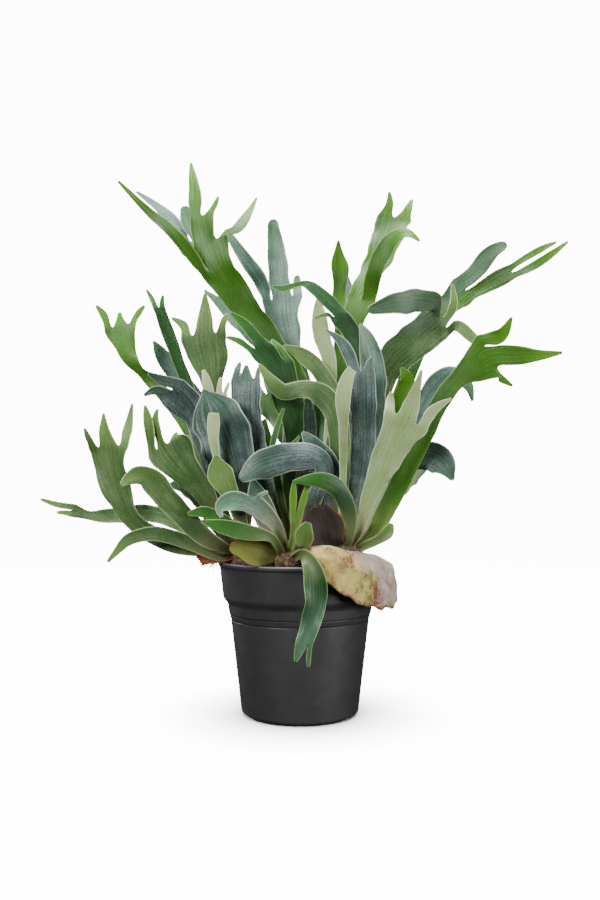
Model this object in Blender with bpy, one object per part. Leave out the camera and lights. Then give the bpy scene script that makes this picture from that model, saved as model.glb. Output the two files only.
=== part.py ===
"""Staghorn fern in a black nursery pot. Tables are in millimetres, the model in metres, +Z up.
The origin is the middle of the pot's underside. The front of the plant faces -Y."""
import math

import bmesh
import bpy
from mathutils import Vector

# Pot
RIM_RADIUS = 85.0
POT_HEIGHT = 158.0
WALL = 2.0
POT_SEGMENTS = 40
FOOT_RING = (51.0, 58.0)                  # the ring that the pot stands on lies between these radii
FOOT_NOTCHES = (9, 23, 36)               # segments where the foot ring is notched
NOTCH_HEIGHT = 3.2
FLOOR_TOP = 5.0
SOIL_TOP = 146.0

# Plant
GAP = 0.3                                 # left between neighbours that touch
BLADE_THICKNESS = 1.6
STALK_WIDTH = 8.0
COLUMNS = 4                               # strips across a forked blade, shared out at each fork
PLAIN_COLUMNS = 2                         # strips across a blade with no fork
ROW_SPACING = 30.0
TIP_WIDTH = 2.5

# The fronds are laid out on a front elevation through the pot's axis. Each point is then pushed
# along its line of sight from this viewpoint, so that a depth changes nothing in that elevation.
VIEW_DISTANCE = 900.0
VIEW_HEIGHT = 230.0

# The plant fans out to the front and the back as its fronds rise and spread.
FAN_DEPTH = -15.0                         # fronds at this depth stay upright
FAN_RATE = 1.5
FAN_REACH = 300.0
FAN_HALF_WIDTH = 50.0                     # the fan starts beyond this far from the axis
FAN_HEIGHT = 170.0                        # and above this height

# Growing points of the rhizome: centre (x, y, z) and radius
KNOBS = {
    "centre": ((-8, 2, 166), 20),
    "right": ((44, -36, 166), 20),
    "left": ((-56, -22, 164), 20),
    "back": ((22, 46, 166), 20),
    "front": ((-12, -50, 161), 16),
}
ARM_RADIUS = 9.0
ARM_DROP = 8.0                            # runners lie this much lower than the growing points

COLOURS = {
    "pot_plastic": (0.027, 0.027, 0.028, 0.55),
    "peat": (0.035, 0.02, 0.012, 0.95),
    "rhizome_felt": (0.12, 0.055, 0.028, 0.95),
    "shield_tissue": (0.26, 0.16, 0.10, 0.85),
    "frond_green": (0.16, 0.30, 0.045, 0.6),
    "frond_glaucous": (0.15, 0.235, 0.235, 0.65),
    "frond_olive": (0.21, 0.27, 0.12, 0.7),
}

# Each frond: knob it grows from, material, cross-section cup, path and lobes.
# A path point is (x, depth, z, width, turn): x and z on the front elevation, turn in degrees about
# the path, 0 with the upper side to the front, positive with it turned to the right.
# A point with no turn keeps the one before it. A lobe is (strips, path) or (strips, path, lobes),
# listed from the left of the direction of growth to the right.
FRONDS = {
    # top left
    "frond_tall_antler": dict(knob="centre", kind="frond_green", cup=0.12, path=[
        (-12, 12, 220, 13, -20), (2, 20, 325, 21), (-28, 16, 382, 27), (-62, 8, 429, 31),
        (-86, 0, 462, 38)], lobes=[
        (1, [(-120, -6, 486, 15), (-141, -8, 508, 12), (-157, -8, 521, 10), (-190, -10, 554, 3)]),
        (3, [(-93, -2, 489, 43)], [
            (2, [(-103, -3, 516, 29)], [
                (1, [(-110, -2, 541, 16), (-114, 4, 573, 3)]), (1, [(-90, -4, 526, 8), (-85, -4, 538, 3)])]),
            (1, [(-66, 2, 504, 14), (-54, 6, 520, 10), (-45, 8, 537, 3)])])]),
    "frond_behind_antler": dict(knob="back", kind="frond_glaucous", cup=0.1, path=[
        (0, 60, 240, 12, 25), (-16, 58, 350, 15), (-58, 46, 425, 17), (-93, 32, 468, 28)], lobes=[
        (2, [(-130, 28, 508, 15), (-152, 26, 530, 9), (-172, 24, 544, 3)]),
        (2, [(-113, 28, 500, 17), (-120, 26, 528, 3)])]),
    "frond_slate_spear": dict(knob="centre", kind="frond_glaucous", cup=0.08, path=[
        (-16, 46, 235, 12, 15), (-10, 44, 320, 18), (-32, 38, 376, 22), (-57, 32, 404, 24),
        (-100, 26, 440, 3)]),
    "frond_centre_tall": dict(knob="centre", kind="frond_glaucous", cup=0.1, path=[
        (10, 34, 235, 12, -15), (6, 32, 330, 16), (-7, 29, 375, 19), (-16, 28, 405, 35),
        (-19, 27, 430, 43)], lobes=[
        (1, [(-38, 28, 446, 13), (-58, 28, 478, 11), (-77, 28, 505, 3)]),
        (2, [(-22, 25, 455, 20), (-25, 22, 485, 17), (-28, 18, 516, 3)]),
        (1, [(-3, 26, 442, 9), (-3, 25, 456, 3)])]),
    "frond_folded_green": dict(knob="centre", kind="frond_green", cup=0.15, path=[
        (-12, -14, 240, 15, 18), (-6, -18, 283, 20), (-12, -20, 325, 31), (-23, -20, 360, 38)], lobes=[
        (3, [(-42, -22, 380, 25)], [
            (1, [(-62, -26, 386, 10), (-77, -27, 391, 3)]), (2, [(-56, -23, 402, 13), (-73, -24, 417, 3)])]),
        (1, [(-25, -16, 382, 9), (-29, -14, 389, 3)])]),
    "frond_olive_strap": dict(knob="centre", kind="frond_olive", cup=0.1, path=[
        (18, -12, 222, 12), (38, -8, 300, 16), (36, -6, 328, 17), (20, -5, 356, 18),
        (3, -4, 372, 16), (-18, -3, 382, 3)]),
    "frond_broad_slate": dict(knob="centre", kind="frond_glaucous", cup=0.1, path=[
        (-34, -20, 225, 20, -18), (-48, -28, 278, 30), (-56, -30, 320, 35), (-56, -29, 345, 33)], lobes=[
        (1, [(-65, -28, 357, 8), (-62, -28, 365, 3)]), (2, [(-56, -29, 355, 10), (-56, -29, 362, 3)]),
        (1, [(-44, -28, 354, 7), (-42, -28, 360, 3)])]),
    "frond_arching_olive": dict(knob="right", kind="frond_olive", cup=-0.12, path=[
        (37, -34, 208, 15), (43, -39, 255, 22), (37, -38, 309, 23), (20, -36, 333, 23),
        (1, -35, 337, 19), (-17, -34, 333, 17), (-30, -34, 345, 14), (-43, -32, 363, 3)]),
    "frond_swan_neck": dict(knob="right", kind="frond_green", cup=0.15, path=[
        (52, -22, 230, 9), (63, -20, 320, 14), (64, -20, 370, 17), (52, -20, 398, 20),
        (41, -20, 413, 20)], lobes=[
        (1, [(30, -25, 415, 6), (16, -28, 411, 3)]),
        (3, [(28, -19, 430, 15), (11, -18, 444, 11), (0, -17, 447, 5), (-18, -18, 441, 8),
             (-29, -18, 444, 3)])]),
    # left of the middle
    "frond_left_slate_blade": dict(knob="left", kind="frond_glaucous", cup=0.12, path=[
        (-60, -34, 208, 24, -12), (-68, -37, 250, 46), (-80, -38, 290, 60), (-90, -38, 315, 48),
        (-99, -38, 333, 8)]),
    "frond_left_dusk": dict(knob="left", kind="frond_glaucous", cup=0.15, path=[
        (-84, -14, 222, 14, -25), (-100, -15, 285, 24), (-114, -16, 316, 36), (-132, -18, 335, 38)], lobes=[
        (2, [(-150, -20, 336, 12), (-163, -20, 330, 3)]), (2, [(-147, -18, 347, 12), (-159, -18, 354, 3)])]),
    "frond_fishtail": dict(knob="left", kind="frond_green", cup=0.12, path=[
        (-92, -2, 222, 10), (-115, 4, 290, 12), (-145, 2, 335, 15), (-167, 0, 356, 17, -50),
        (-180, -2, 374, 18, 0), (-187, -4, 401, 37)], lobes=[
        (1, [(-204, -5, 413, 9), (-213, -6, 424, 3)]), (2, [(-188, -4, 410, 8), (-188, -4, 417, 3)]),
        (1, [(-171, -4, 413, 9), (-162, -4, 424, 3)])]),
    "frond_left_upright": dict(knob="left", kind="frond_green", cup=0.12, path=[
        (-76, 18, 238, 9, 30), (-104, 18, 306, 11), (-121, 14, 350, 13), (-136, 10, 390, 15),
        (-147, 8, 420, 14)], lobes=[
        (2, [(-155, 8, 432, 6), (-160, 8, 440, 3)]), (2, [(-144, 8, 428, 6), (-143, 8, 434, 3)])]),
    "frond_left_grey_lobe": dict(knob="left", kind="frond_glaucous", cup=0.1, path=[
        (-58, 36, 238, 9, -20), (-96, 34, 312, 13), (-138, 26, 364, 19), (-153, 24, 387, 3)]),
    "frond_grey_trident": dict(knob="left", kind="frond_olive", cup=-0.1, path=[
        (-62, 0, 235, 11, 15), (-84, -4, 305, 14), (-92, -8, 345, 25), (-97, -10, 374, 42),
        (-100, -11, 392, 49)], lobes=[
        (1, [(-121, -13, 403, 11), (-134, -14, 411, 3)]), (2, [(-99, -10, 414, 15), (-99, -10, 437, 3)]),
        (1, [(-81, -8, 405, 10), (-75, -6, 416, 3)])]),
    "frond_pale_fold": dict(knob="left", kind="frond_glaucous", cup=0.2, path=[
        (-59, -26, 235, 9), (-80, -26, 300, 16), (-88, -27, 327, 25)], lobes=[
        (2, [(-97, -27, 344, 10), (-101, -26, 357, 3)]), (1, [(-84, -27, 340, 7), (-82, -26, 349, 3)]),
        (1, [(-77, -27, 336, 6), (-74, -26, 344, 3)])]),
    "frond_left_bud": dict(knob="left", kind="frond_green", cup=0.2, path=[
        (-66, -51, 205, 6), (-84, -48, 254, 7), (-90, -50, 285, 11), (-90, -50, 302, 14),
        (-90, -50, 312, 6)]),
    # left clump
    "frond_left_broad": dict(knob="left", kind="frond_green", cup=0.12, path=[
        (-84, -40, 196, 14, -15), (-100, -50, 229, 24), (-124, -55, 257, 38), (-139, -56, 278, 50)], lobes=[
        (1, [(-158, -56, 303, 11), (-162, -55, 320, 3)]), (1, [(-151, -56, 305, 8), (-148, -56, 316, 3)]),
        (2, [(-131, -56, 288, 9), (-127, -56, 292, 3)])]),
    "frond_left_round": dict(knob="left", kind="frond_green", cup=0.2, path=[
        (-58, -56, 194, 10), (-72, -62, 226, 18), (-84, -63, 250, 29), (-87, -63, 263, 10)]),
    "frond_curled_tip": dict(knob="left", kind="frond_green", cup=0.18, path=[
        (-82, -52, 173, 13, -12), (-101, -60, 184, 21), (-137, -68, 221, 26), (-160, -70, 246, 25),
        (-178, -73, 244, 15), (-187, -77, 236, 3)]),
    "frond_left_trident": dict(knob="left", kind="frond_olive", cup=0.12, path=[
        (-92, -30, 168, 13, -20), (-135, -31, 175, 19), (-172, -32, 198, 22), (-188, -34, 225, 31),
        (-197, -36, 255, 41), (-200, -37, 275, 47)], lobes=[
        (1, [(-221, -39, 287, 8), (-225, -40, 296, 3)]), (2, [(-204, -36, 293, 14), (-205, -34, 312, 3)]),
        (1, [(-179, -36, 297, 12), (-175, -34, 322, 3)])]),
    "frond_far_left": dict(knob="left", kind="frond_olive", cup=0.15, path=[
        (-88, -16, 175, 10, 12), (-125, -18, 196, 16), (-156, -20, 207, 18), (-185, -22, 205, 18),
        (-208, -24, 204, 14), (-221, -24, 205, 9), (-236, -26, 210, 15)], lobes=[
        (2, [(-246, -26, 208, 6), (-254, -26, 208, 3)]), (2, [(-253, -28, 216, 7), (-271, -30, 222, 3)])]),
    "frond_left_horn": dict(knob="left", kind="frond_olive", cup=0.15, path=[
        (-86, -44, 162, 10, -15), (-114, -48, 176, 16), (-151, -50, 186, 16), (-177, -50, 181, 14),
        (-189, -50, 170, 9), (-201, -50, 156, 3)]),
    "frond_left_small": dict(knob="left", kind="frond_glaucous", cup=0.15, path=[
        (-92, -30, 196, 9), (-106, -38, 222, 13), (-120, -42, 236, 17), (-139, -44, 236, 3)]),
    "frond_dark_ribbon": dict(knob="front", kind="frond_olive", cup=0.1, path=[
        (-58, -68, 188, 8), (-86, -71, 204, 12), (-104, -72, 209, 12), (-118, -72, 206, 3)]),
    # low middle
    "frond_low_curl": dict(knob="front", kind="frond_glaucous", cup=-0.2, path=[
        (6, -58, 205, 14), (22, -62, 250, 20), (12, -63, 270, 26), (-20, -64, 268, 30),
        (-48, -66, 254, 15), (-59, -67, 240, 3)]),
    "frond_low_fold": dict(knob="front", kind="frond_glaucous", cup=0.15, path=[
        (-22, -68, 190, 12), (-36, -72, 207, 19), (-50, -74, 218, 23)], lobes=[
        (3, [(-71, -76, 221, 22), (-85, -78, 212, 11), (-81, -82, 203, 3)]),
        (1, [(-42, -75, 226, 8), (-33, -76, 230, 3)])]),
    "frond_low_green": dict(knob="front", kind="frond_green", cup=0.12, path=[
        (-30, -80, 182, 10), (-54, -88, 187, 17), (-80, -89, 193, 16), (-104, -89, 199, 3)]),
    "frond_bright_pair": dict(knob="front", kind="frond_green", cup=0.15, path=[
        (-6, -72, 186, 8), (-4, -78, 206, 14)], lobes=[
        (2, [(-7, -80, 226, 8), (-6, -80, 241, 3)]), (2, [(4, -80, 222, 8), (8, -80, 238, 3)])]),
    "frond_small_curl": dict(knob="front", kind="frond_green", cup=0.25, path=[
        (4, -74, 170, 9), (4, -84, 184, 22), (9, -86, 198, 6)]),
    "frond_hanging": dict(knob="front", kind="frond_green", cup=0.15, path=[
        (0, -80, 166, 12, 12), (8, -94, 158, 20), (15, -99, 136, 27), (16, -99, 112, 27),
        (9, -98, 84, 21)], lobes=[
        (2, [(11, -98, 62, 8), (9, -98, 45, 3)]), (2, [(-1, -98, 68, 9), (-6, -98, 54, 3)])]),
    "frond_small_fork": dict(knob="centre", kind="frond_green", cup=0.15, path=[
        (-18, -27, 215, 8), (-28, -38, 262, 9)], lobes=[
        (2, [(-26, -39, 290, 7), (-17, -38, 317, 3)]), (2, [(-10, -42, 276, 6), (0, -43, 288, 3)])]),
    # right clump
    "frond_arching_leaf": dict(knob="right", kind="frond_green", cup=-0.15, path=[
        (52, -68, 185, 10), (51, -78, 208, 16), (40, -84, 232, 19), (20, -88, 242, 17),
        (-8, -90, 240, 3)]),
    "frond_right_dark": dict(knob="right", kind="frond_glaucous", cup=0.12, path=[
        (36, -50, 205, 14), (33, -51, 240, 25), (24, -52, 262, 29), (10, -52, 283, 15),
        (2, -50, 292, 3)]),
    "frond_right_slate": dict(knob="right", kind="frond_glaucous", cup=0.1, path=[
        (55, -52, 190, 13, 14), (60, -57, 225, 22), (66, -57, 275, 27), (66, -55, 325, 28),
        (65, -52, 352, 29)], lobes=[
        (2, [(45, -49, 384, 12), (26, -47, 399, 3)]), (2, [(72, -50, 364, 10), (76, -49, 370, 3)])]),
    "frond_right_behind": dict(knob="right", kind="frond_glaucous", cup=0.1, path=[
        (64, -42, 222, 16, -20), (76, -38, 300, 25), (77, -35, 350, 27), (72, -33, 382, 23),
        (63, -30, 405, 3)]),
    "frond_narrow_bud": dict(knob="right", kind="frond_glaucous", cup=0.2, path=[
        (43, -65, 196, 7, 12), (45, -66, 250, 8), (45, -66, 300, 11), (45, -65, 330, 17),
        (50, -62, 350, 13), (54, -60, 357, 5)]),
    "frond_pale_trident": dict(knob="right", kind="frond_olive", cup=0.15, path=[
        (62, -64, 192, 12, 12), (74, -72, 230, 19), (89, -76, 262, 31), (101, -77, 286, 42),
        (111, -77, 303, 50)], lobes=[
        (1, [(94, -72, 323, 11), (95, -70, 334, 3)]), (2, [(119, -75, 330, 14), (127, -77, 357, 3)]),
        (1, [(138, -73, 314, 12), (158, -71, 327, 3)])]),
    "frond_long_strap": dict(knob="right", kind="frond_green", cup=0.15, path=[
        (75, -46, 184, 14, 12), (88, -51, 208, 20), (116, -56, 262, 21), (147, -54, 325, 20),
        (165, -51, 347, 21), (182, -49, 360, 30), (197, -49, 370, 40)], lobes=[
        (1, [(208, -50, 394, 14), (222, -50, 412, 3)]),
        (2, [(225, -48, 373, 21), (250, -47, 373, 12), (274, -46, 375, 3)]),
        (1, [(208, -43, 349, 10), (222, -38, 340, 3)])]),
    "frond_right_arch": dict(knob="right", kind="frond_glaucous", cup=-0.2, path=[
        (98, 8, 216, 12, 20), (123, -20, 300, 21), (138, -26, 335, 26), (157, -28, 351, 21),
        (175, -30, 342, 12), (180, -30, 324, 3)]),
    "frond_right_round": dict(knob="right", kind="frond_glaucous", cup=0.2, path=[
        (86, -28, 204, 12, 15), (108, -40, 255, 24), (130, -43, 268, 33), (149, -45, 261, 31),
        (158, -46, 245, 8)]),
    "frond_right_small": dict(knob="right", kind="frond_green", cup=0.25, path=[
        (80, -4, 236, 9), (100, -31, 318, 12), (112, -36, 344, 19), (105, -38, 359, 3)]),
    "frond_right_low": dict(knob="right", kind="frond_olive", cup=0.2, path=[
        (84, -58, 181, 10), (92, -60, 188, 14), (95, -60, 197, 5)]),
    # upper right
    "frond_great_diagonal": dict(knob="back", kind="frond_olive", cup=0.12, path=[
        (62, 30, 235, 14, 12), (84, 8, 345, 32), (118, 0, 385, 38), (146, -2, 408, 40)], lobes=[
        (2, [(136, -14, 428, 24, -30), (104, -24, 427, 22, -10), (66, -24, 418, 3)]),
        (1, [(160, -2, 424, 10), (159, -2, 447, 3)]),
        (1, [(165, -10, 403, 13), (184, -14, 388, 11), (199, -14, 396, 3)])]),
    "frond_far_right": dict(knob="back", kind="frond_green", cup=0.12, path=[
        (78, 54, 262, 14, -15), (128, 28, 390, 20), (156, 16, 426, 26), (171, 14, 439, 32)], lobes=[
        (2, [(184, 11, 460, 18), (198, 8, 480, 15), (218, 6, 491, 4)]),
        (2, [(204, 11, 450, 18), (240, 4, 469, 16)], [
            (1, [(258, 2, 482, 7), (268, 0, 489, 3)]), (1, [(262, 2, 480, 7), (280, 0, 491, 3)])])]),
    "frond_top_green": dict(knob="back", kind="frond_green", cup=0.12, path=[
        (26, 26, 250, 13, -18), (38, 18, 340, 18), (48, 14, 390, 24), (64, 10, 430, 31)], lobes=[
        (2, [(84, 14, 475, 27), (98, 14, 510, 30)], [
            (1, [(94, 12, 530, 9), (93, 10, 543, 3)]), (1, [(112, 12, 522, 12), (117, 12, 535, 3)])]),
        (2, [(78, -2, 460, 19), (93, -8, 489, 19), (111, -12, 500, 13), (125, -14, 491, 3)])]),
    "frond_teardrop": dict(knob="back", kind="frond_green", cup=0.2, path=[
        (28, 50, 262, 8, 30), (36, 44, 330, 9), (40, 38, 390, 11), (41, 34, 440, 18),
        (41, 30, 465, 20), (40, 26, 492, 3)]),
    "frond_dark_spear": dict(knob="back", kind="frond_glaucous", cup=0.1, path=[
        (45, 71, 270, 13, -8), (50, 52, 380, 22), (49, 50, 420, 26), (48, 46, 458, 3)]),
    "frond_pale_lobe": dict(knob="centre", kind="frond_olive", cup=0.2, path=[
        (26, 0, 250, 10), (32, 4, 350, 13), (22, 2, 395, 18), (20, 0, 415, 15), (18, 0, 431, 3)]),
    # back of the plant
    "frond_back_fork": dict(knob="back", kind="frond_green", cup=0.12, path=[
        (10, 80, 235, 16, 160), (-15, 92, 300, 30), (-34, 98, 330, 38)], lobes=[
        (2, [(-32, 102, 352, 16), (-32, 108, 374, 3)]), (2, [(-54, 104, 342, 16), (-68, 108, 354, 3)])]),
    "frond_back_broad": dict(knob="back", kind="frond_glaucous", cup=0.12, path=[
        (40, 84, 232, 16, 190), (60, 100, 285, 32), (68, 106, 318, 40)], lobes=[
        (2, [(88, 108, 338, 17), (98, 112, 350, 3)]), (2, [(62, 110, 346, 18), (58, 116, 374, 3)])]),
    "frond_back_left": dict(knob="left", kind="frond_green", cup=0.12, path=[
        (-80, 40, 195, 14, 170), (-104, 74, 228, 28), (-120, 90, 252, 38)], lobes=[
        (2, [(-118, 100, 274, 16), (-112, 108, 290, 3)]), (2, [(-138, 98, 262, 16), (-152, 106, 268, 3)])]),
    "frond_back_right": dict(knob="back", kind="frond_olive", cup=0.12, path=[
        (70, 84, 195, 14, 190), (96, 102, 232, 28), (112, 110, 252, 38)], lobes=[
        (2, [(131, 116, 263, 16), (144, 122, 268, 3)]), (2, [(112, 120, 272, 17), (108, 126, 288, 3)])]),
    "frond_back_drooping": dict(knob="back", kind="frond_green", cup=0.12, path=[
        (16, 92, 186, 13, 195), (10, 116, 184, 22), (4, 134, 158, 28), (2, 140, 130, 26)], lobes=[
        (2, [(14, 142, 108, 10), (18, 142, 90, 3)]), (2, [(-8, 142, 104, 11), (-12, 142, 82, 3)])]),
    # papery shield fronds
    "shield_front": dict(knob="front", kind="shield_tissue", cup=0.25, path=[
        (-32, -61, 163, 15), (-43, -71, 168, 28), (-57, -74, 171, 27), (-67, -74, 171, 10)]),
    "shield_upright": dict(knob="right", kind="shield_tissue", cup=0.3, stalk=18, path=[
        (28, -64, 176, 26), (22, -68, 190, 37), (22, -69, 203, 32), (24, -68, 211, 12)]),
}

# Shield frond that folds over the rim: bearings and heights of its two edges around the pot
RIM_SHIELD_BEARINGS = (-84, -70, -56, -42, -28, -14)
RIM_SHIELD_TOP = (166, 168, 169, 169, 166, 160)
RIM_SHIELD_FOOT = (152, 140, 124, 116, 113, 118)
RIM_SHIELD_INNER_RADIUS = 78.2
RIM_SHIELD_OUTER_RADIUS = 94.0
RIM_SHIELD_FOLDS = ((0.0, 0.0), (0.5, 0.0), (0.85, 0.18), (1.0, 0.55), (0.93, 1.0))


def clear_scene():
    for old in list(bpy.data.objects):
        bpy.data.objects.remove(old, do_unlink=True)


def material(name):
    found = bpy.data.materials.get(name)
    if found:
        return found
    made = bpy.data.materials.new(name)
    made.use_nodes = True
    shader = made.node_tree.nodes["Principled BSDF"]
    red, green, blue, roughness = COLOURS[name]
    shader.inputs["Base Color"].default_value = (red, green, blue, 1)
    shader.inputs["Roughness"].default_value = roughness
    shader.inputs["Metallic"].default_value = 0
    return made


def add_object(name, bm, material_name, smooth_angle=None):
    """Turn a bmesh in millimetres into a named object in metres."""
    bmesh.ops.scale(bm, vec=(0.001, 0.001, 0.001), verts=bm.verts)
    mesh = bpy.data.meshes.new(name)
    bm.to_mesh(mesh)
    bm.free()
    if smooth_angle:
        mesh.shade_smooth()
        mesh.set_sharp_from_angle(angle=math.radians(smooth_angle))
    made = bpy.data.objects.new(name, mesh)
    made.data.materials.append(material(material_name))
    bpy.context.scene.collection.objects.link(made)
    return made


def thicken(sheet, thickness):
    solid = sheet.modifiers.new("thickness", "SOLIDIFY")
    solid.thickness = thickness * 0.001
    solid.offset = 0
    return sheet


def turned(profile, segments=POT_SEGMENTS):
    """Spin a closed profile of (radius, height) points, which starts and ends on the axis."""
    bm = bmesh.new()
    verts = [bm.verts.new((radius, 0, height)) for radius, height in profile]
    edges = [bm.edges.new(pair) for pair in zip(verts, verts[1:])]
    bmesh.ops.spin(bm, geom=verts + edges, cent=(0, 0, 0), axis=(0, 0, 1), dvec=(0, 0, 0),
                   angle=math.tau, steps=segments, use_merge=True)
    bmesh.ops.remove_doubles(bm, verts=bm.verts, dist=0.001)
    bmesh.ops.recalc_face_normals(bm, faces=bm.faces)
    return bm


def make_pot():
    outside = [(0, 0), (20, 0), (22, 3), (50, 3), (52, 0), (57, 0), (61, 3.5), (72, 99), (73.8, 105),
               (75.2, 115), (79.8, 121), (83.9, 154.5), (RIM_RADIUS, 155), (RIM_RADIUS, POT_HEIGHT)]
    inside = [(RIM_RADIUS - WALL, POT_HEIGHT), (81.9, 154), (77.8, 121.6), (73.2, 115.2),
              (59.3, FLOOR_TOP), (0, FLOOR_TOP)]
    bm = turned(outside + inside)
    for vert in bm.verts:
        radius = math.hypot(vert.co.x, vert.co.y)
        segment = round(math.atan2(vert.co.y, vert.co.x) / math.tau * POT_SEGMENTS) % POT_SEGMENTS
        stands = FOOT_RING[0] < radius < FOOT_RING[1] and vert.co.z < NOTCH_HEIGHT / 2
        if stands and segment in FOOT_NOTCHES:
            vert.co.z = NOTCH_HEIGHT
    return add_object("pot", bm, "pot_plastic", 40)


def make_soil():
    profile = [(0, FLOOR_TOP + GAP), (58.9, FLOOR_TOP + GAP), (72.8, 115.0), (77.3, 121.8),
               (80.4, SOIL_TOP), (0, SOIL_TOP)]
    return add_object("soil", turned(profile), "peat", 40)


def knob_ball(centre, radius):
    bm = bmesh.new()
    bmesh.ops.create_uvsphere(bm, u_segments=16, v_segments=9, radius=radius)
    bmesh.ops.translate(bm, vec=centre, verts=bm.verts)
    return bm


def rhizome_arm(start, end):
    """A short thick runner between two growing points, lying low on the peat."""
    drop = Vector((0, 0, ARM_DROP))
    start, end = Vector(start) - drop, Vector(end) - drop
    bm = bmesh.new()
    bmesh.ops.create_cone(bm, cap_ends=True, segments=12, radius1=ARM_RADIUS, radius2=ARM_RADIUS,
                          depth=(end - start).length)
    bmesh.ops.rotate(bm, cent=(0, 0, 0), verts=bm.verts,
                     matrix=(end - start).to_track_quat("Z", "Y").to_matrix())
    bmesh.ops.translate(bm, vec=(start + end) / 2, verts=bm.verts)
    return bm


def make_guide(name, bm):
    guide = add_object(name, bm, "rhizome_felt")
    guide.hide_render = True
    guide.display_type = "WIRE"
    return guide


def make_rhizome():
    """Five growing points joined by runners, cut flat where they lie on the peat."""
    middle, radius = KNOBS["centre"]
    rhizome = add_object("rhizome", knob_ball(middle, radius), "rhizome_felt", 50)
    cuts = []
    for name, (centre, knob_radius) in KNOBS.items():
        if name != "centre":
            cuts.append(("UNION", make_guide("guide_knob_" + name, knob_ball(centre, knob_radius))))
            cuts.append(("UNION", make_guide("guide_arm_" + name, rhizome_arm(middle, centre))))
    below = bmesh.new()
    block = 2 * RIM_RADIUS
    bmesh.ops.create_cube(below, size=block)
    bmesh.ops.translate(below, vec=(0, 0, SOIL_TOP + GAP - block / 2), verts=below.verts)
    cuts.append(("DIFFERENCE", make_guide("guide_peat_level", below)))
    for operation, guide in cuts:
        cut = rhizome.modifiers.new(guide.name, "BOOLEAN")
        cut.operation = operation
        cut.object = guide
    return rhizome


def fanned(x, depth, z):
    """Depth once the plant has fanned out."""
    reach = math.hypot(max(abs(x) - FAN_HALF_WIDTH, 0), max(z - FAN_HEIGHT, 0)) / FAN_REACH
    return FAN_DEPTH + (depth - FAN_DEPTH) * (1 + FAN_RATE * reach ** 2)


def full_points(path, turn):
    """Path points as (x, y, z, width, turn), with each missing turn taken from the one before."""
    points = []
    for x, depth, z, width, *stated in path:
        turn = stated[0] if stated else turn
        depth = fanned(x, depth, z)
        spread = 1 + depth / VIEW_DISTANCE
        points.append((x * spread, depth, VIEW_HEIGHT + (z - VIEW_HEIGHT) * spread,
                       width * spread, turn))
    return points


def between(points, place):
    """Values at a place along the points, on a smooth curve through them."""
    index = max(0, min(int(place), len(points) - 2))
    part = place - index
    before, start, end, after = (points[max(index - 1, 0)], points[index], points[index + 1],
                                 points[min(index + 2, len(points) - 1)])
    return [0.5 * (2 * q + (r - p) * part + (2 * p - 5 * q + 4 * r - s) * part ** 2
                   + (3 * q - p - 3 * r + s) * part ** 3)
            for p, q, r, s in zip(before, start, end, after)]


def row_places(points, place, columns, cup):
    """Places of one row of a blade, from its left edge to its right edge."""
    *middle, width, turn = between(points, place)
    ahead = Vector(between(points, min(place + 0.05, len(points) - 1))[:3])
    behind = Vector(between(points, max(place - 0.05, 0))[:3])
    along = (ahead - behind).normalized()
    front = Vector((0, -1, 0))
    face = (front - along * front.dot(along)).normalized()
    across = along.cross(face)
    angle = math.radians(turn)
    face, across = (face * math.cos(angle) + across * math.sin(angle),
                    across * math.cos(angle) - face * math.sin(angle))
    half = max(width, TIP_WIDTH) / 2
    shares = [-1 + 2 * column / columns for column in range(columns + 1)]
    return [Vector(middle) + across * half * share + face * half * cup * (share * share - 0.4)
            for share in shares]


def extrude_row(bm, row, places):
    edges = [bm.edges.get(pair) for pair in zip(row, row[1:])]
    made = bmesh.ops.extrude_edge_only(bm, edges=edges)["geom"]
    fresh = {item for item in made if isinstance(item, bmesh.types.BMVert)}
    new_row = [next(edge.other_vert(vert) for edge in vert.link_edges
                    if edge.other_vert(vert) in fresh) for vert in row]
    for vert, place in zip(new_row, places):
        vert.co = place
    return new_row


def grow(bm, row, points, first, cup):
    """Extrude a blade's row along its points, from number first to the last."""
    for segment in range(first, len(points) - 1):
        length = (Vector(points[segment + 1][:3]) - Vector(points[segment][:3])).length
        steps = max(1, round(length / ROW_SPACING))
        for step in range(1, steps + 1):
            row = extrude_row(bm, row, row_places(points, segment + step / steps, len(row) - 1, cup))
    return row


def fork(bm, row, points, lobes, cup):
    """Share a row's strips among its lobes and grow each one."""
    start = 0
    for strips, path, *deeper in lobes:
        part = row[start:start + strips + 1]
        start += strips
        middle = (part[0].co + part[-1].co) / 2
        width = (part[0].co - part[-1].co).length
        turn = points[-1][4]
        drift = Vector(points[-1][:3]) - Vector(points[-2][:3])
        back = middle - drift * 0.6
        lobe_points = [(*back, width, turn), (*middle, width, turn)] + full_points(path, turn)
        end = grow(bm, part, lobe_points, 1, cup)
        if deeper:
            fork(bm, end, lobe_points, deeper[0], cup)


def make_frond(name, knob, kind, cup, path, lobes=(), stalk=STALK_WIDTH):
    centre, radius = KNOBS[knob]
    points = full_points(path, 0)
    outwards = (Vector(points[0][:3]) - Vector(centre)).normalized()
    seat = Vector(centre) + outwards * (radius + GAP)
    points = [(*seat, stalk, points[0][4])] + points
    bm = bmesh.new()
    columns = COLUMNS if lobes else PLAIN_COLUMNS
    row = [bm.verts.new(place) for place in row_places(points, 0, columns, cup)]
    for pair in zip(row, row[1:]):
        bm.edges.new(pair)
    row = grow(bm, row, points, 0, cup)
    if lobes:
        fork(bm, row, points, lobes, cup)
    return thicken(add_object(name, bm, kind, 60), BLADE_THICKNESS)


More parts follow.
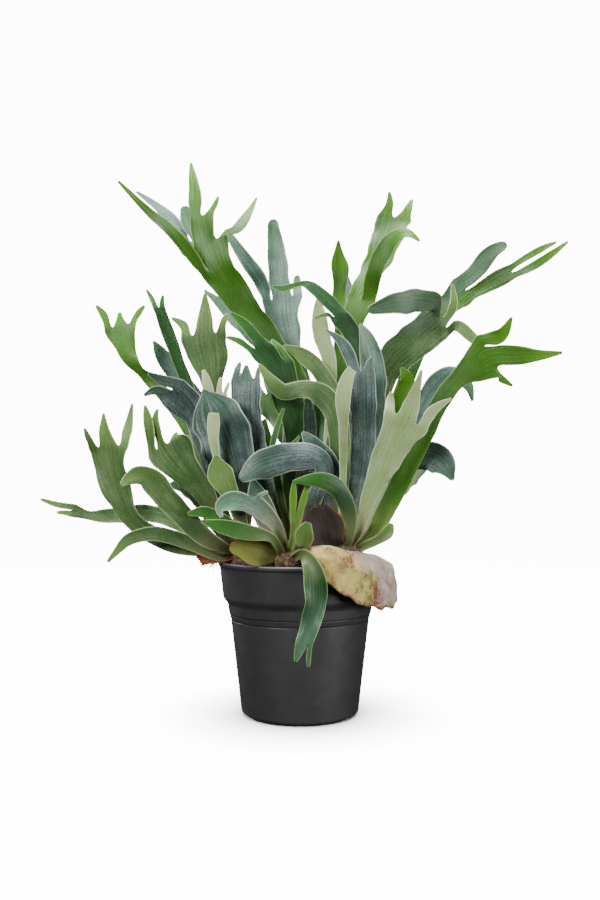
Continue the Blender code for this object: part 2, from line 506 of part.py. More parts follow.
def rim_shield_row(bearing, top, foot):
    """Places of one row of the rim shield, from inside the rim, over it and down the outside."""
    reach = RIM_SHIELD_OUTER_RADIUS - RIM_SHIELD_INNER_RADIUS
    angle = math.radians(bearing)
    places = []
    for out, down in RIM_SHIELD_FOLDS:
        radius = RIM_SHIELD_INNER_RADIUS + reach * out
        places.append(Vector((radius * math.cos(angle), radius * math.sin(angle),
                              top + (foot - top) * down)))
    return places


def make_rim_shield():
    rows = [rim_shield_row(*edge) for edge in zip(RIM_SHIELD_BEARINGS, RIM_SHIELD_TOP, RIM_SHIELD_FOOT)]
    bm = bmesh.new()
    row = [bm.verts.new(place) for place in rows[0]]
    for pair in zip(row, row[1:]):
        bm.edges.new(pair)
    for places in rows[1:]:
        row = extrude_row(bm, row, places)
    return thicken(add_object("shield_over_rim", bm, "shield_tissue", 60), BLADE_THICKNESS)


clear_scene()
make_pot()
make_soil()
make_rhizome()
make_rim_shield()
for frond_name, frond in FRONDS.items():
    make_frond(frond_name, **frond)
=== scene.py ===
import math
import random
from functools import partial

import bmesh
import bpy
from mathutils import Euler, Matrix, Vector, noise


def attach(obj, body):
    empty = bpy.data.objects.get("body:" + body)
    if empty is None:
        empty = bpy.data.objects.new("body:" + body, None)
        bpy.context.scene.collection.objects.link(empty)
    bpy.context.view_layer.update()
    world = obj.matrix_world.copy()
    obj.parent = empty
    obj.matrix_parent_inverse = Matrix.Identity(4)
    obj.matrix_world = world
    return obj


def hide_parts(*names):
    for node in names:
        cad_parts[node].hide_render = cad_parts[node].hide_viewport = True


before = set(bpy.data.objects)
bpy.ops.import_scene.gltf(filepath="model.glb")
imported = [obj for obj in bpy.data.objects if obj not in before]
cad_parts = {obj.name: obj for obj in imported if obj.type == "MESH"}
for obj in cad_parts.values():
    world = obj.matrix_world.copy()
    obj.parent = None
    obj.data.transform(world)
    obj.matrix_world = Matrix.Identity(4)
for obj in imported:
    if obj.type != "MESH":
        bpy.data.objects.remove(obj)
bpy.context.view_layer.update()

knobs = {  # growing points on the rhizome: centre and radius
    "centre": ((-8, 2, 166), 20),
    "right": ((44, -36, 166), 20),
    "left": ((-56, -22, 164), 20),
    "back": ((22, 46, 166), 20),
    "front": ((-12, -50, 161), 16),
}


def colour(code):  # an sRGB hex value as linear red, green and blue, and alpha
    parts = [int(code[start:start + 2], 16) / 255 for start in (1, 3, 5)]
    return [part / 12.92 if part <= 0.04045 else ((part + 0.055) / 1.055) ** 2.4 for part in parts] + [1]


def addObject(name, data):
    made = bpy.data.objects.new(name, data)
    bpy.context.collection.objects.link(made)
    return made


def meshFrom(name, bm):
    mesh = bpy.data.meshes.new(name)
    bm.to_mesh(mesh)
    bm.free()
    return mesh


def aim(thing, place, target):
    thing.location = place
    thing.rotation_euler = (Vector(target) - thing.location).to_track_quat("-Z", "Y").to_euler()


# Blender's node, its inputs in the order that they are given, the output taken and the usual settings
nodeKinds = {
    "place": ("TexCoord", (), "Object", {}),
    "attribute": ("Attribute", (), "Fac", {}),
    "noise": ("TexNoise", ("Vector", "Scale", "Detail"), 0, {}),  # the scale is 1000 / a size in mm
    "cells": ("TexVoronoi", ("Vector", "Scale"), "Distance", {"feature": "DISTANCE_TO_EDGE"}),
    "ramp": ("MapRange", ("Value", "From Min", "From Max", "To Min", "To Max"), 0, {}),
    "mix": ("Mix", (0, 6, 7), 2, {"data_type": "RGBA"}),
    "rgb": ("CombineColor", (0, 1, 2), 0, {}),
    "xyz": ("CombineXYZ", (0, 1, 2), 0, {}),
    "height": ("SeparateXYZ", (0,), "Z", {}),
    "paintedShadowMask": ("AmbientOcclusion", ("Distance",), "AO", {"samples": 8}),
    "bump": ("Bump", ("Height", "Distance", "Strength", "Normal"), 0, {}),
}
for operation in ("add", "subtract", "multiply", "power", "absolute", "sine"):
    nodeKinds[operation] = ("Math", (0, 1), 0, {"operation": operation.upper()})


def addNode(tree, kind, *values, **settings):
    blenderKind, inputs, output, usual = nodeKinds[kind]
    made = tree.nodes.new("ShaderNode" + blenderKind)
    for name, value in (usual | settings).items():
        setattr(made, name, value)
    for name, value in zip(inputs, values):
        if isinstance(value, bpy.types.NodeSocket):
            tree.links.new(value, made.inputs[name])
        else:
            made.inputs[name].default_value = value
    return made.outputs[output]


def patches(node, place, size, detail, *limits):  # cloudy noise with its low and high ends cut off
    return node("ramp", node("noise", place, 1000 / size, detail), *limits)


def paint(shader, value, socket="Base Color"):
    shader.id_data.links.new(value, shader.inputs[socket])


def newMaterial(name, roughness, sheen=0.0, specular=0.5):
    made = bpy.data.materials.new(name)
    made.use_nodes = True
    shader = made.node_tree.nodes["Principled BSDF"]
    shader.inputs["Roughness"].default_value = roughness
    shader.inputs["Sheen Weight"].default_value = sheen
    shader.inputs["Sheen Roughness"].default_value = 0.5
    shader.inputs["Specular IOR Level"].default_value = specular
    return made, partial(addNode, made.node_tree), shader


def flecked(name, roughness, size, detail, dark, light, low=0.35, high=0.65, sheen=0.0):
    made, node, shader = newMaterial(name, roughness, sheen)
    flecks = node("noise", node("place"), 1000 / size, detail)
    shade = node("mix", node("ramp", flecks, low, high), colour(dark), colour(light))
    paint(shader, shade)
    return made, node, shader, flecks


def bump(node, shader, heights):  # heights: (value, depth in mm) from coarse to fine
    normal = []
    for value, depth in heights:
        normal = [node("bump", value, depth / 1000, 1.0, *normal)]
    paint(shader, normal[0], "Normal")


# what each point of a leaf carries: its share of the width, mm from the root, mm from the margin, how near
# it is to the tip, a tone of its own for the whole frond, and how much it shows its waxy side
leafValues = ("strip", "along", "edge", "tip", "tone", "cool")
pattern = dict(patches=70, wander=28, rubbed=26, grain=1.6, pores=1.3, specks=7,  # sizes in mm
               streaksAcross=26, streaksAlong=0.018, marginWidth=(0.3, 1.0), stalkEnd=(22, 78),
               waxy="#35573f", speck="#5a4526", slowDepth=1.6, veinDepth=0.45, streakDepth=0.06,
               poreDepth=0.1, lighter=(0.16, 0.13, 0.1), sheen=0.04, specular=0.32)


def leafMaterial(name, look, face):
    base, patch, bloom = colour(look[face]), colour(look["patch"]), colour(look["bloom"])
    made, node, shader = newMaterial(name, look["roughness"], pattern["sheen"], pattern["specular"])
    place = node("place")
    strip, along, edge, tip, tone, cool = (node("attribute", attribute_name=value) for value in leafValues)
    # slow changes of green along the blade
    slow = node("noise", place, 1000 / pattern["patches"], 2.0)
    shade = node("mix", node("ramp", slow, 0.35, 0.68, 0, look["patchy"]), base, patch)
    # each frond a little lighter or darker than the next
    lighter = node("rgb", *(node("ramp", tone, 0, 1, 1 - most, 1 + most) for most in pattern["lighter"]))
    shade = node("mix", 1.0, shade, lighter, blend_type="MULTIPLY")
    # a lobe that shows its waxy side is grey-green
    shade = node("mix", cool, shade, colour(pattern["waxy"]))
    # veins fork lengthwise, so they follow the strips of the blade
    wander = node("multiply", node("noise", place, 1000 / pattern["wander"], 2.0), 4.0)
    across = node("multiply", strip, look["veins"] * 2 * math.pi)
    vein = node("ramp", node("sine", node("add", across, wander)), 0.55, 1.0)
    shade = node("mix", node("multiply", vein, look["veinShow"]), shade, colour(look["veinColour"]))
    # white felt in lengthwise streaks, rubbed off in patches
    lengthwise = node("xyz", node("multiply", strip, pattern["streaksAcross"]),
                      node("multiply", along, pattern["streaksAlong"]), node("multiply", tone, 40.0))
    streak = node("ramp", node("noise", lengthwise, 1.0, 5.0), 0.28, 0.8)
    rubbed = patches(node, place, pattern["rubbed"], 4.0, 0.36, 0.62, 0.25, 1.0)
    mottled = patches(node, place, pattern["grain"], 4.0, 0.36, 0.64, 0.4, 1.0)
    felt = node("multiply", node("multiply", streak, rubbed), mottled)
    shade = node("mix", node("multiply", felt, look["felt"]), shade, bloom)
    # young tips are a fresher green
    fresh = node("multiply", node("subtract", tip, cool), look["tipShow"])
    shade = node("mix", fresh, shade, colour(look["tip"]))
    # thin pale margin
    thin = node("ramp", edge, *pattern["marginWidth"], look["marginShow"], 0.0)
    shade = node("mix", thin, shade, colour(look["margin"]))
    # pale brownish stalk
    fromRoot = node("add", along, node("multiply", slow, 30.0))
    stalk = node("ramp", fromRoot, *pattern["stalkEnd"], 0.75, 0.0)
    shade = node("mix", stalk, shade, colour(look["stalk"]))
    # few brown specks
    speck = patches(node, place, pattern["specks"], 8.0, 0.735, 0.765, 0, 0.6)
    shade = node("mix", speck, shade, colour(pattern["speck"]))
    paint(shader, shade)
    pores = node("noise", place, 1000 / pattern["pores"], 3.0)
    veinHeight = look["veinDepth"] * pattern["veinDepth"]
    bump(node, shader, [(slow, pattern["slowDepth"]), (vein, veinHeight),
                        (streak, pattern["streakDepth"]), (pores, pattern["poreDepth"])])
    return made


# what most leaves have in common, then what each finish has of its own, with its slot in the record
usualLook = dict(stalk="#8f8560", veins=9, veinShow=0.1, veinDepth=0.25, patchy=0.7, marginShow=0.6)
leafLooks = {
    "fresh": dict(slot="frond_green", upper="#386c10", under="#5a8526", patch="#1d460b", bloom="#86a45c",
        felt=0.3, patchy=0.85, tip="#5f9a10", tipShow=0.55, margin="#aec66c", marginShow=0.45,
        stalk="#8b9a58", veinShow=0.12, veinColour="#73a03a", roughness=0.46),
    "deep": dict(slot="frond_green", upper="#16480b", under="#557a3e", patch="#0b2a0b", bloom="#7fa387",
        felt=0.26, patchy=0.8, tip="#438422", tipShow=0.5, margin="#a2bd74", marginShow=0.55, stalk="#7a8452",
        veins=8, veinShow=0.12, veinColour="#55793f", roughness=0.4),
    "slate": dict(slot="frond_glaucous", upper="#18322f", under="#8c9f80", patch="#0d241a", bloom="#adc0be",
        felt=0.78, tip="#426f48", tipShow=0.35, margin="#c4cfba", veinColour="#6d8788", roughness=0.42),
    "glaucous": dict(slot="frond_glaucous", upper="#335a4b", under="#90a582", patch="#2b5636",
        bloom="#aebfb8", felt=0.72, tip="#65935c", tipShow=0.4, margin="#cdd6bf", veinColour="#8ba5a0",
        roughness=0.46),
    "olive": dict(slot="frond_olive", upper="#365c1e", under="#93a678", patch="#2b5022", bloom="#a3b388",
        felt=0.58, patchy=0.75, tip="#73993f", tipShow=0.5, margin="#ccd6a6", veinColour="#92a477",
        veinDepth=0.3, roughness=0.5),
    "pale": dict(slot="frond_olive", upper="#7f9658", under="#b3c092", patch="#6c9248", bloom="#ccd6b2",
        felt=0.8, tip="#bccb92", tipShow=0.6, margin="#e8ecd4", veins=8, veinShow=0.14, veinColour="#6f8560",
        veinDepth=0.3, roughness=0.55),
    "mossy": dict(slot="shield_tissue", upper="#6f8a10", under="#6f5a45", patch="#4c4c12", bloom="#a5ad50",
        felt=0.35, patchy=1.0, tip="#6f5a2c", tipShow=0.12, margin="#5e2c14", marginShow=0.9, stalk="#5c5630",
        veins=5, veinShow=0.25, veinColour="#46501f", veinDepth=0.5, roughness=0.6),
    "rusty": dict(slot="shield_tissue", upper="#8a3c1c", under="#7a3a20", patch="#5a2412", bloom="#c0784a",
        felt=0.5, patchy=1.0, tip="#a85a30", tipShow=0.4, margin="#c08a5a", stalk="#5a3020", veins=6,
        veinShow=0.4, veinColour="#4a1c0e", veinDepth=0.5, roughness=0.8),
    "dusty": dict(slot="shield_tissue", upper="#3d342e", under="#5a5048", patch="#1c1714", bloom="#6f665f",
        felt=0.5, patchy=1.0, tip="#5c3a28", tipShow=0.0, margin="#8a4526", marginShow=0.9, stalk="#2e2620",
        veins=6, veinShow=0.35, veinColour="#1c1714", veinDepth=0.6, roughness=0.82),
}
leafMaterials = {}
for finish, look in leafLooks.items():
    # leathery frond with a matt felt: the green upper face, and the paler, woollier face under it
    leafMaterials[finish] = [leafMaterial("felted " + finish + " frond, " + face, usualLook | look, face)
                             for face in ("upper", "under")]
print("leaf materials", len(leafMaterials) * 2)


def between(points, place):  # smooth curve through the points
    index = max(0, min(int(place), len(points) - 2))
    part = place - index
    around = (points[max(index - 1, 0)], points[index], points[index + 1],
              points[min(index + 2, len(points) - 1)])
    return [0.5 * (2 * q + (r - p) * part + (2 * p - 5 * q + 4 * r - s) * part ** 2
                   + (3 * q - p - 3 * r + s) * part ** 3) for p, q, r, s in zip(*around)]


def easeIn(value, start, end):
    share = min(max((value - start) / (end - start), 0), 1)
    return share * share * (3 - 2 * share)


fan = dict(depth=-15, rate=1.5, reach=300, halfWidth=50, height=170, viewDistance=900, viewHeight=230)


def fannedOut(path, turn):  # same as in part.py: depths grow with reach and keep the front outline
    points = []
    for x, depth, z, width, *stated in path:
        turn = stated[0] if stated else turn
        reach = math.hypot(max(abs(x) - fan["halfWidth"], 0), max(z - fan["height"], 0)) / fan["reach"]
        depth = fan["depth"] + (depth - fan["depth"]) * (1 + fan["rate"] * reach ** 2)
        spread = 1 + depth / fan["viewDistance"]
        height = fan["viewHeight"] + (z - fan["viewHeight"]) * spread
        points.append((x * spread, depth, height, width * spread, turn))
    return points


# in mm, apart from counts, shares and tipTurns, which are degrees
blade = dict(forkedColumns=12, plainColumns=8, rowStep=5.5, thickness=2.8, body=0.42, margin=0.2,
             baseSink=2.0, waveLength=52, ripple=1.6, rippleLength=23, uneven=0.16, unevenLength=13,
             smallestWidth=2.0, stalkCup=0.5, stalkCupRun=(10, 60), stalkyRun=(15, 70),
             livelyRun=(40, 110), coolRun=40, freshTip=55, roundTip=6, tipTurns=(28, 54, 76))


def bladeRow(points, place, columns, cup):
    *middle, width, turn = between(points, place)
    ahead = Vector(between(points, min(place + 0.05, len(points) - 1))[:3])
    behind = Vector(between(points, max(place - 0.05, 0))[:3])
    direction = (ahead - behind).normalized()
    front = Vector((0, -1, 0))
    face = (front - direction * front.dot(direction)).normalized()
    across = direction.cross(face)
    angle = math.radians(turn)
    face, across = (face * math.cos(angle) + across * math.sin(angle),
                    across * math.cos(angle) - face * math.sin(angle))
    half = max(width, blade["smallestWidth"]) / 2
    shares = [-1 + 2 * column / columns for column in range(columns + 1)]
    places = [Vector(middle) + across * half * share + face * half * cup * (share * share - 0.4)
              for share in shares]
    return places, shares, face, across, half


def extrudeRow(bm, row, places):
    edges = [bm.edges.get(pair) for pair in zip(row, row[1:])]
    made = bmesh.ops.extrude_edge_only(bm, edges=edges)["geom"]
    fresh = {item for item in made if isinstance(item, bmesh.types.BMVert)}
    newRow = [next(edge.other_vert(vert) for edge in vert.link_edges
                   if edge.other_vert(vert) in fresh) for vert in row]
    for vert, place in zip(newRow, places):
        vert.co = place
    return newRow


def markRow(frond, row, shares, half, along, tip):
    layers = frond["layers"]
    for vert, share in zip(row, shares):
        vert[layers["along"]] = along
        vert[layers["edge"]] = half * (1 - abs(share))
        vert[layers["tip"]] = tip
        vert[layers["tone"]] = frond["tone"]
        if frond["coolFrom"]:
            cool = easeIn(along, frond["coolFrom"], frond["coolFrom"] + blade["coolRun"])
            vert[layers["cool"]] = cool * (vert[layers["strip"]] < frond["coolPart"])
        inner = min(half * (1 - abs(share)) / 3, 1)
        stalky = 1 - easeIn(along, *blade["stalkyRun"])
        weight = blade["margin"] + (blade["body"] - blade["margin"]) * inner
        vert[frond["weights"]][0] = weight + (1 - weight) * stalky * (0.45 + 0.55 * inner)


def stepLengths(points):
    return [(Vector(end[:3]) - Vector(start[:3])).length for start, end in zip(points, points[1:])]


def growBlade(frond, row, points, first, along, offsets=None, settle=1, isTip=False):
    bm, stripLayer = frond["bm"], frond["layers"]["strip"]
    lengths = stepLengths(points)
    total = sum(lengths[first:])
    travelled = 0
    for segment in range(first, len(points) - 1):
        steps = max(2, round(lengths[segment] / blade["rowStep"]))
        for step in range(1, steps + 1):
            gone = travelled + lengths[segment] * step / steps
            here = along + gone
            cup = frond["cup"] + blade["stalkCup"] * (1 - easeIn(here, *blade["stalkCupRun"]))
            places, shares, face, across, half = bladeRow(points, segment + step / steps, len(row) - 1, cup)
            lively = easeIn(here, *blade["livelyRun"]) * min(half / 11, 1.3)
            loose = 0 if offsets is None else 1 - easeIn(gone, 0, settle)
            for index, share in enumerate(shares):
                side = 0.9 if share > 0 else 3.4
                swing = math.sin(2 * math.pi * here / blade["waveLength"] + frond["phase"] + side)
                ripple = Vector((here / blade["rippleLength"], share * 1.5 + frond["phase"], frond["phase"]))
                swing += blade["ripple"] * noise.noise(ripple)
                edging = Vector((here / blade["unevenLength"], side + frond["phase"], 4))
                uneven = noise.noise(edging) * blade["uneven"]
                places[index] += face * frond["wave"] * share * share * swing * lively
                places[index] += across * half * share * abs(share) * uneven * lively
                if offsets:
                    places[index] += offsets[index] * loose
            fresh = extrudeRow(bm, row, places)
            for vert, old in zip(fresh, row):
                vert[stripLayer] = old[stripLayer]
            tip = 1 - easeIn(total - gone, 0, blade["freshTip"]) if isTip else 0
            markRow(frond, fresh, shares, half, here, tip)
            if offsets and gone < 12:
                frond["sinus"].update(fresh)
            row = fresh
        travelled += lengths[segment]
    ahead = (Vector(points[-1][:3]) - Vector(points[-2][:3])).normalized()
    if isTip and frond["teeth"]:
        for vert in row[1::2]:
            vert.co += ahead * frond["teeth"]
    elif isTip and points[-1][3] > blade["roundTip"]:  # a broad end is closed with a round tip
        middle = (row[0].co + row[-1].co) / 2
        flat = [vert.co - middle for vert in row]
        for turn in map(math.radians, blade["tipTurns"]):
            places = [middle + ahead * half * math.sin(turn) + place * math.cos(turn) for place in flat]
            old, row = row, extrudeRow(bm, row, places)
            for vert, before in zip(row, old):
                vert[stripLayer] = before[stripLayer]
            markRow(frond, row, shares, half * math.cos(turn), along + travelled, 1)
    return row, along + travelled


def forkBlade(frond, row, points, lobes, along):
    stripsInAll = sum(lobe[0] for lobe in lobes)
    perStrip = (len(row) - 1) // stripsInAll
    frond["sinus"].update(row[1:-1])
    start = 0
    for strips, path, *deeper in lobes:
        part = row[start:start + strips * perStrip + 1]
        start += strips * perStrip
        middle = (part[0].co + part[-1].co) / 2
        width = (part[0].co - part[-1].co).length
        turn = points[-1][4]
        back = middle - (Vector(points[-1][:3]) - Vector(points[-2][:3])) * 0.6
        lobePoints = [(*back, width, turn), (*middle, width, turn)] + fannedOut(path, turn)
        own = bladeRow(lobePoints, 1, len(part) - 1, frond["cup"])[0]
        offsets = [vert.co - place for vert, place in zip(part, own)]
        settle = min(1.3 * width, sum(stepLengths(lobePoints[1:])) * 0.8)
        end, endAlong = growBlade(frond, part, lobePoints, 1, along, offsets, settle, not deeper)
        if deeper:
            forkBlade(frond, end, lobePoints, deeper[0], endAlong)


def makeFrond(name, knob, finish, path, lobes=(), slot=None, cup=0.12, wave=1.8, stalk=8, teeth=0,
              coolFrom=0, coolPart=0.5):
    centre, radius = knobs[knob]
    seed = sum(ord(letter) * (index + 1) for index, letter in enumerate(name))
    chance = random.Random(seed)
    points = fannedOut(path, 0)
    outwards = (Vector(points[0][:3]) - Vector(centre)).normalized()
    points = [(*(Vector(centre) + outwards * (radius - blade["baseSink"])), stalk, points[0][4])] + points
    bm = bmesh.new()
    layers = {each: bm.verts.layers.float.new(each) for each in leafValues}
    frond = dict(bm=bm, layers=layers, weights=bm.verts.layers.deform.verify(), cup=cup, wave=wave,
                 teeth=teeth, coolFrom=coolFrom, coolPart=coolPart,
                 phase=chance.uniform(0, 6), tone=chance.random(), sinus=set())
    columns = blade["forkedColumns"] if lobes else blade["plainColumns"]
    places, shares, face, across, half = bladeRow(points, 0, columns, cup + blade["stalkCup"])
    row = [bm.verts.new(place) for place in places]
    for pair in zip(row, row[1:]):
        bm.edges.new(pair)
    for index, vert in enumerate(row):
        vert[layers["strip"]] = index / columns
    markRow(frond, row, shares, half, 0, 0)
    row, along = growBlade(frond, row, points, 0, 0, isTip=not lobes)
    if lobes:
        forkBlade(frond, row, points, lobes, along)
    for again in range(2):
        bmesh.ops.smooth_vert(bm, verts=list(frond["sinus"]), factor=0.5, use_axis_x=True,
                              use_axis_y=True, use_axis_z=True)
    bmesh.ops.recalc_face_normals(bm, faces=bm.faces)
    bm.faces.ensure_lookup_table()
    if bm.faces[0].normal.dot(face) < 0:
        bmesh.ops.reverse_faces(bm, faces=bm.faces)
    nodes = [name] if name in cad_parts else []
    leaf = finishPiece("leaf_" + name, bm, leafMaterials[finish], nodes)
    leaf.vertex_groups.new(name="thickness")
    wall = leaf.modifiers.new("leaf thickness", "SOLIDIFY")
    wall.thickness = blade["thickness"] / 1000
    wall.offset = 0
    wall.vertex_group = "thickness"
    wall.material_offset = 1
    addSubsurf(leaf, 1)
    return leaf


def addSubsurf(piece, levels):
    rounder = piece.modifiers.new("soft shape", "SUBSURF")
    rounder.levels = levels
    rounder.render_levels = levels


def finishPiece(name, bm, materials, nodes=()):
    bmesh.ops.scale(bm, vec=(0.001, 0.001, 0.001), verts=bm.verts)
    mesh = meshFrom(name, bm)
    for made in materials:
        mesh.materials.append(made)
    mesh.shade_smooth()
    piece = addObject(name, mesh)
    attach(piece, "root")
    for cadNode in nodes:
        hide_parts(cadNode)
    return piece


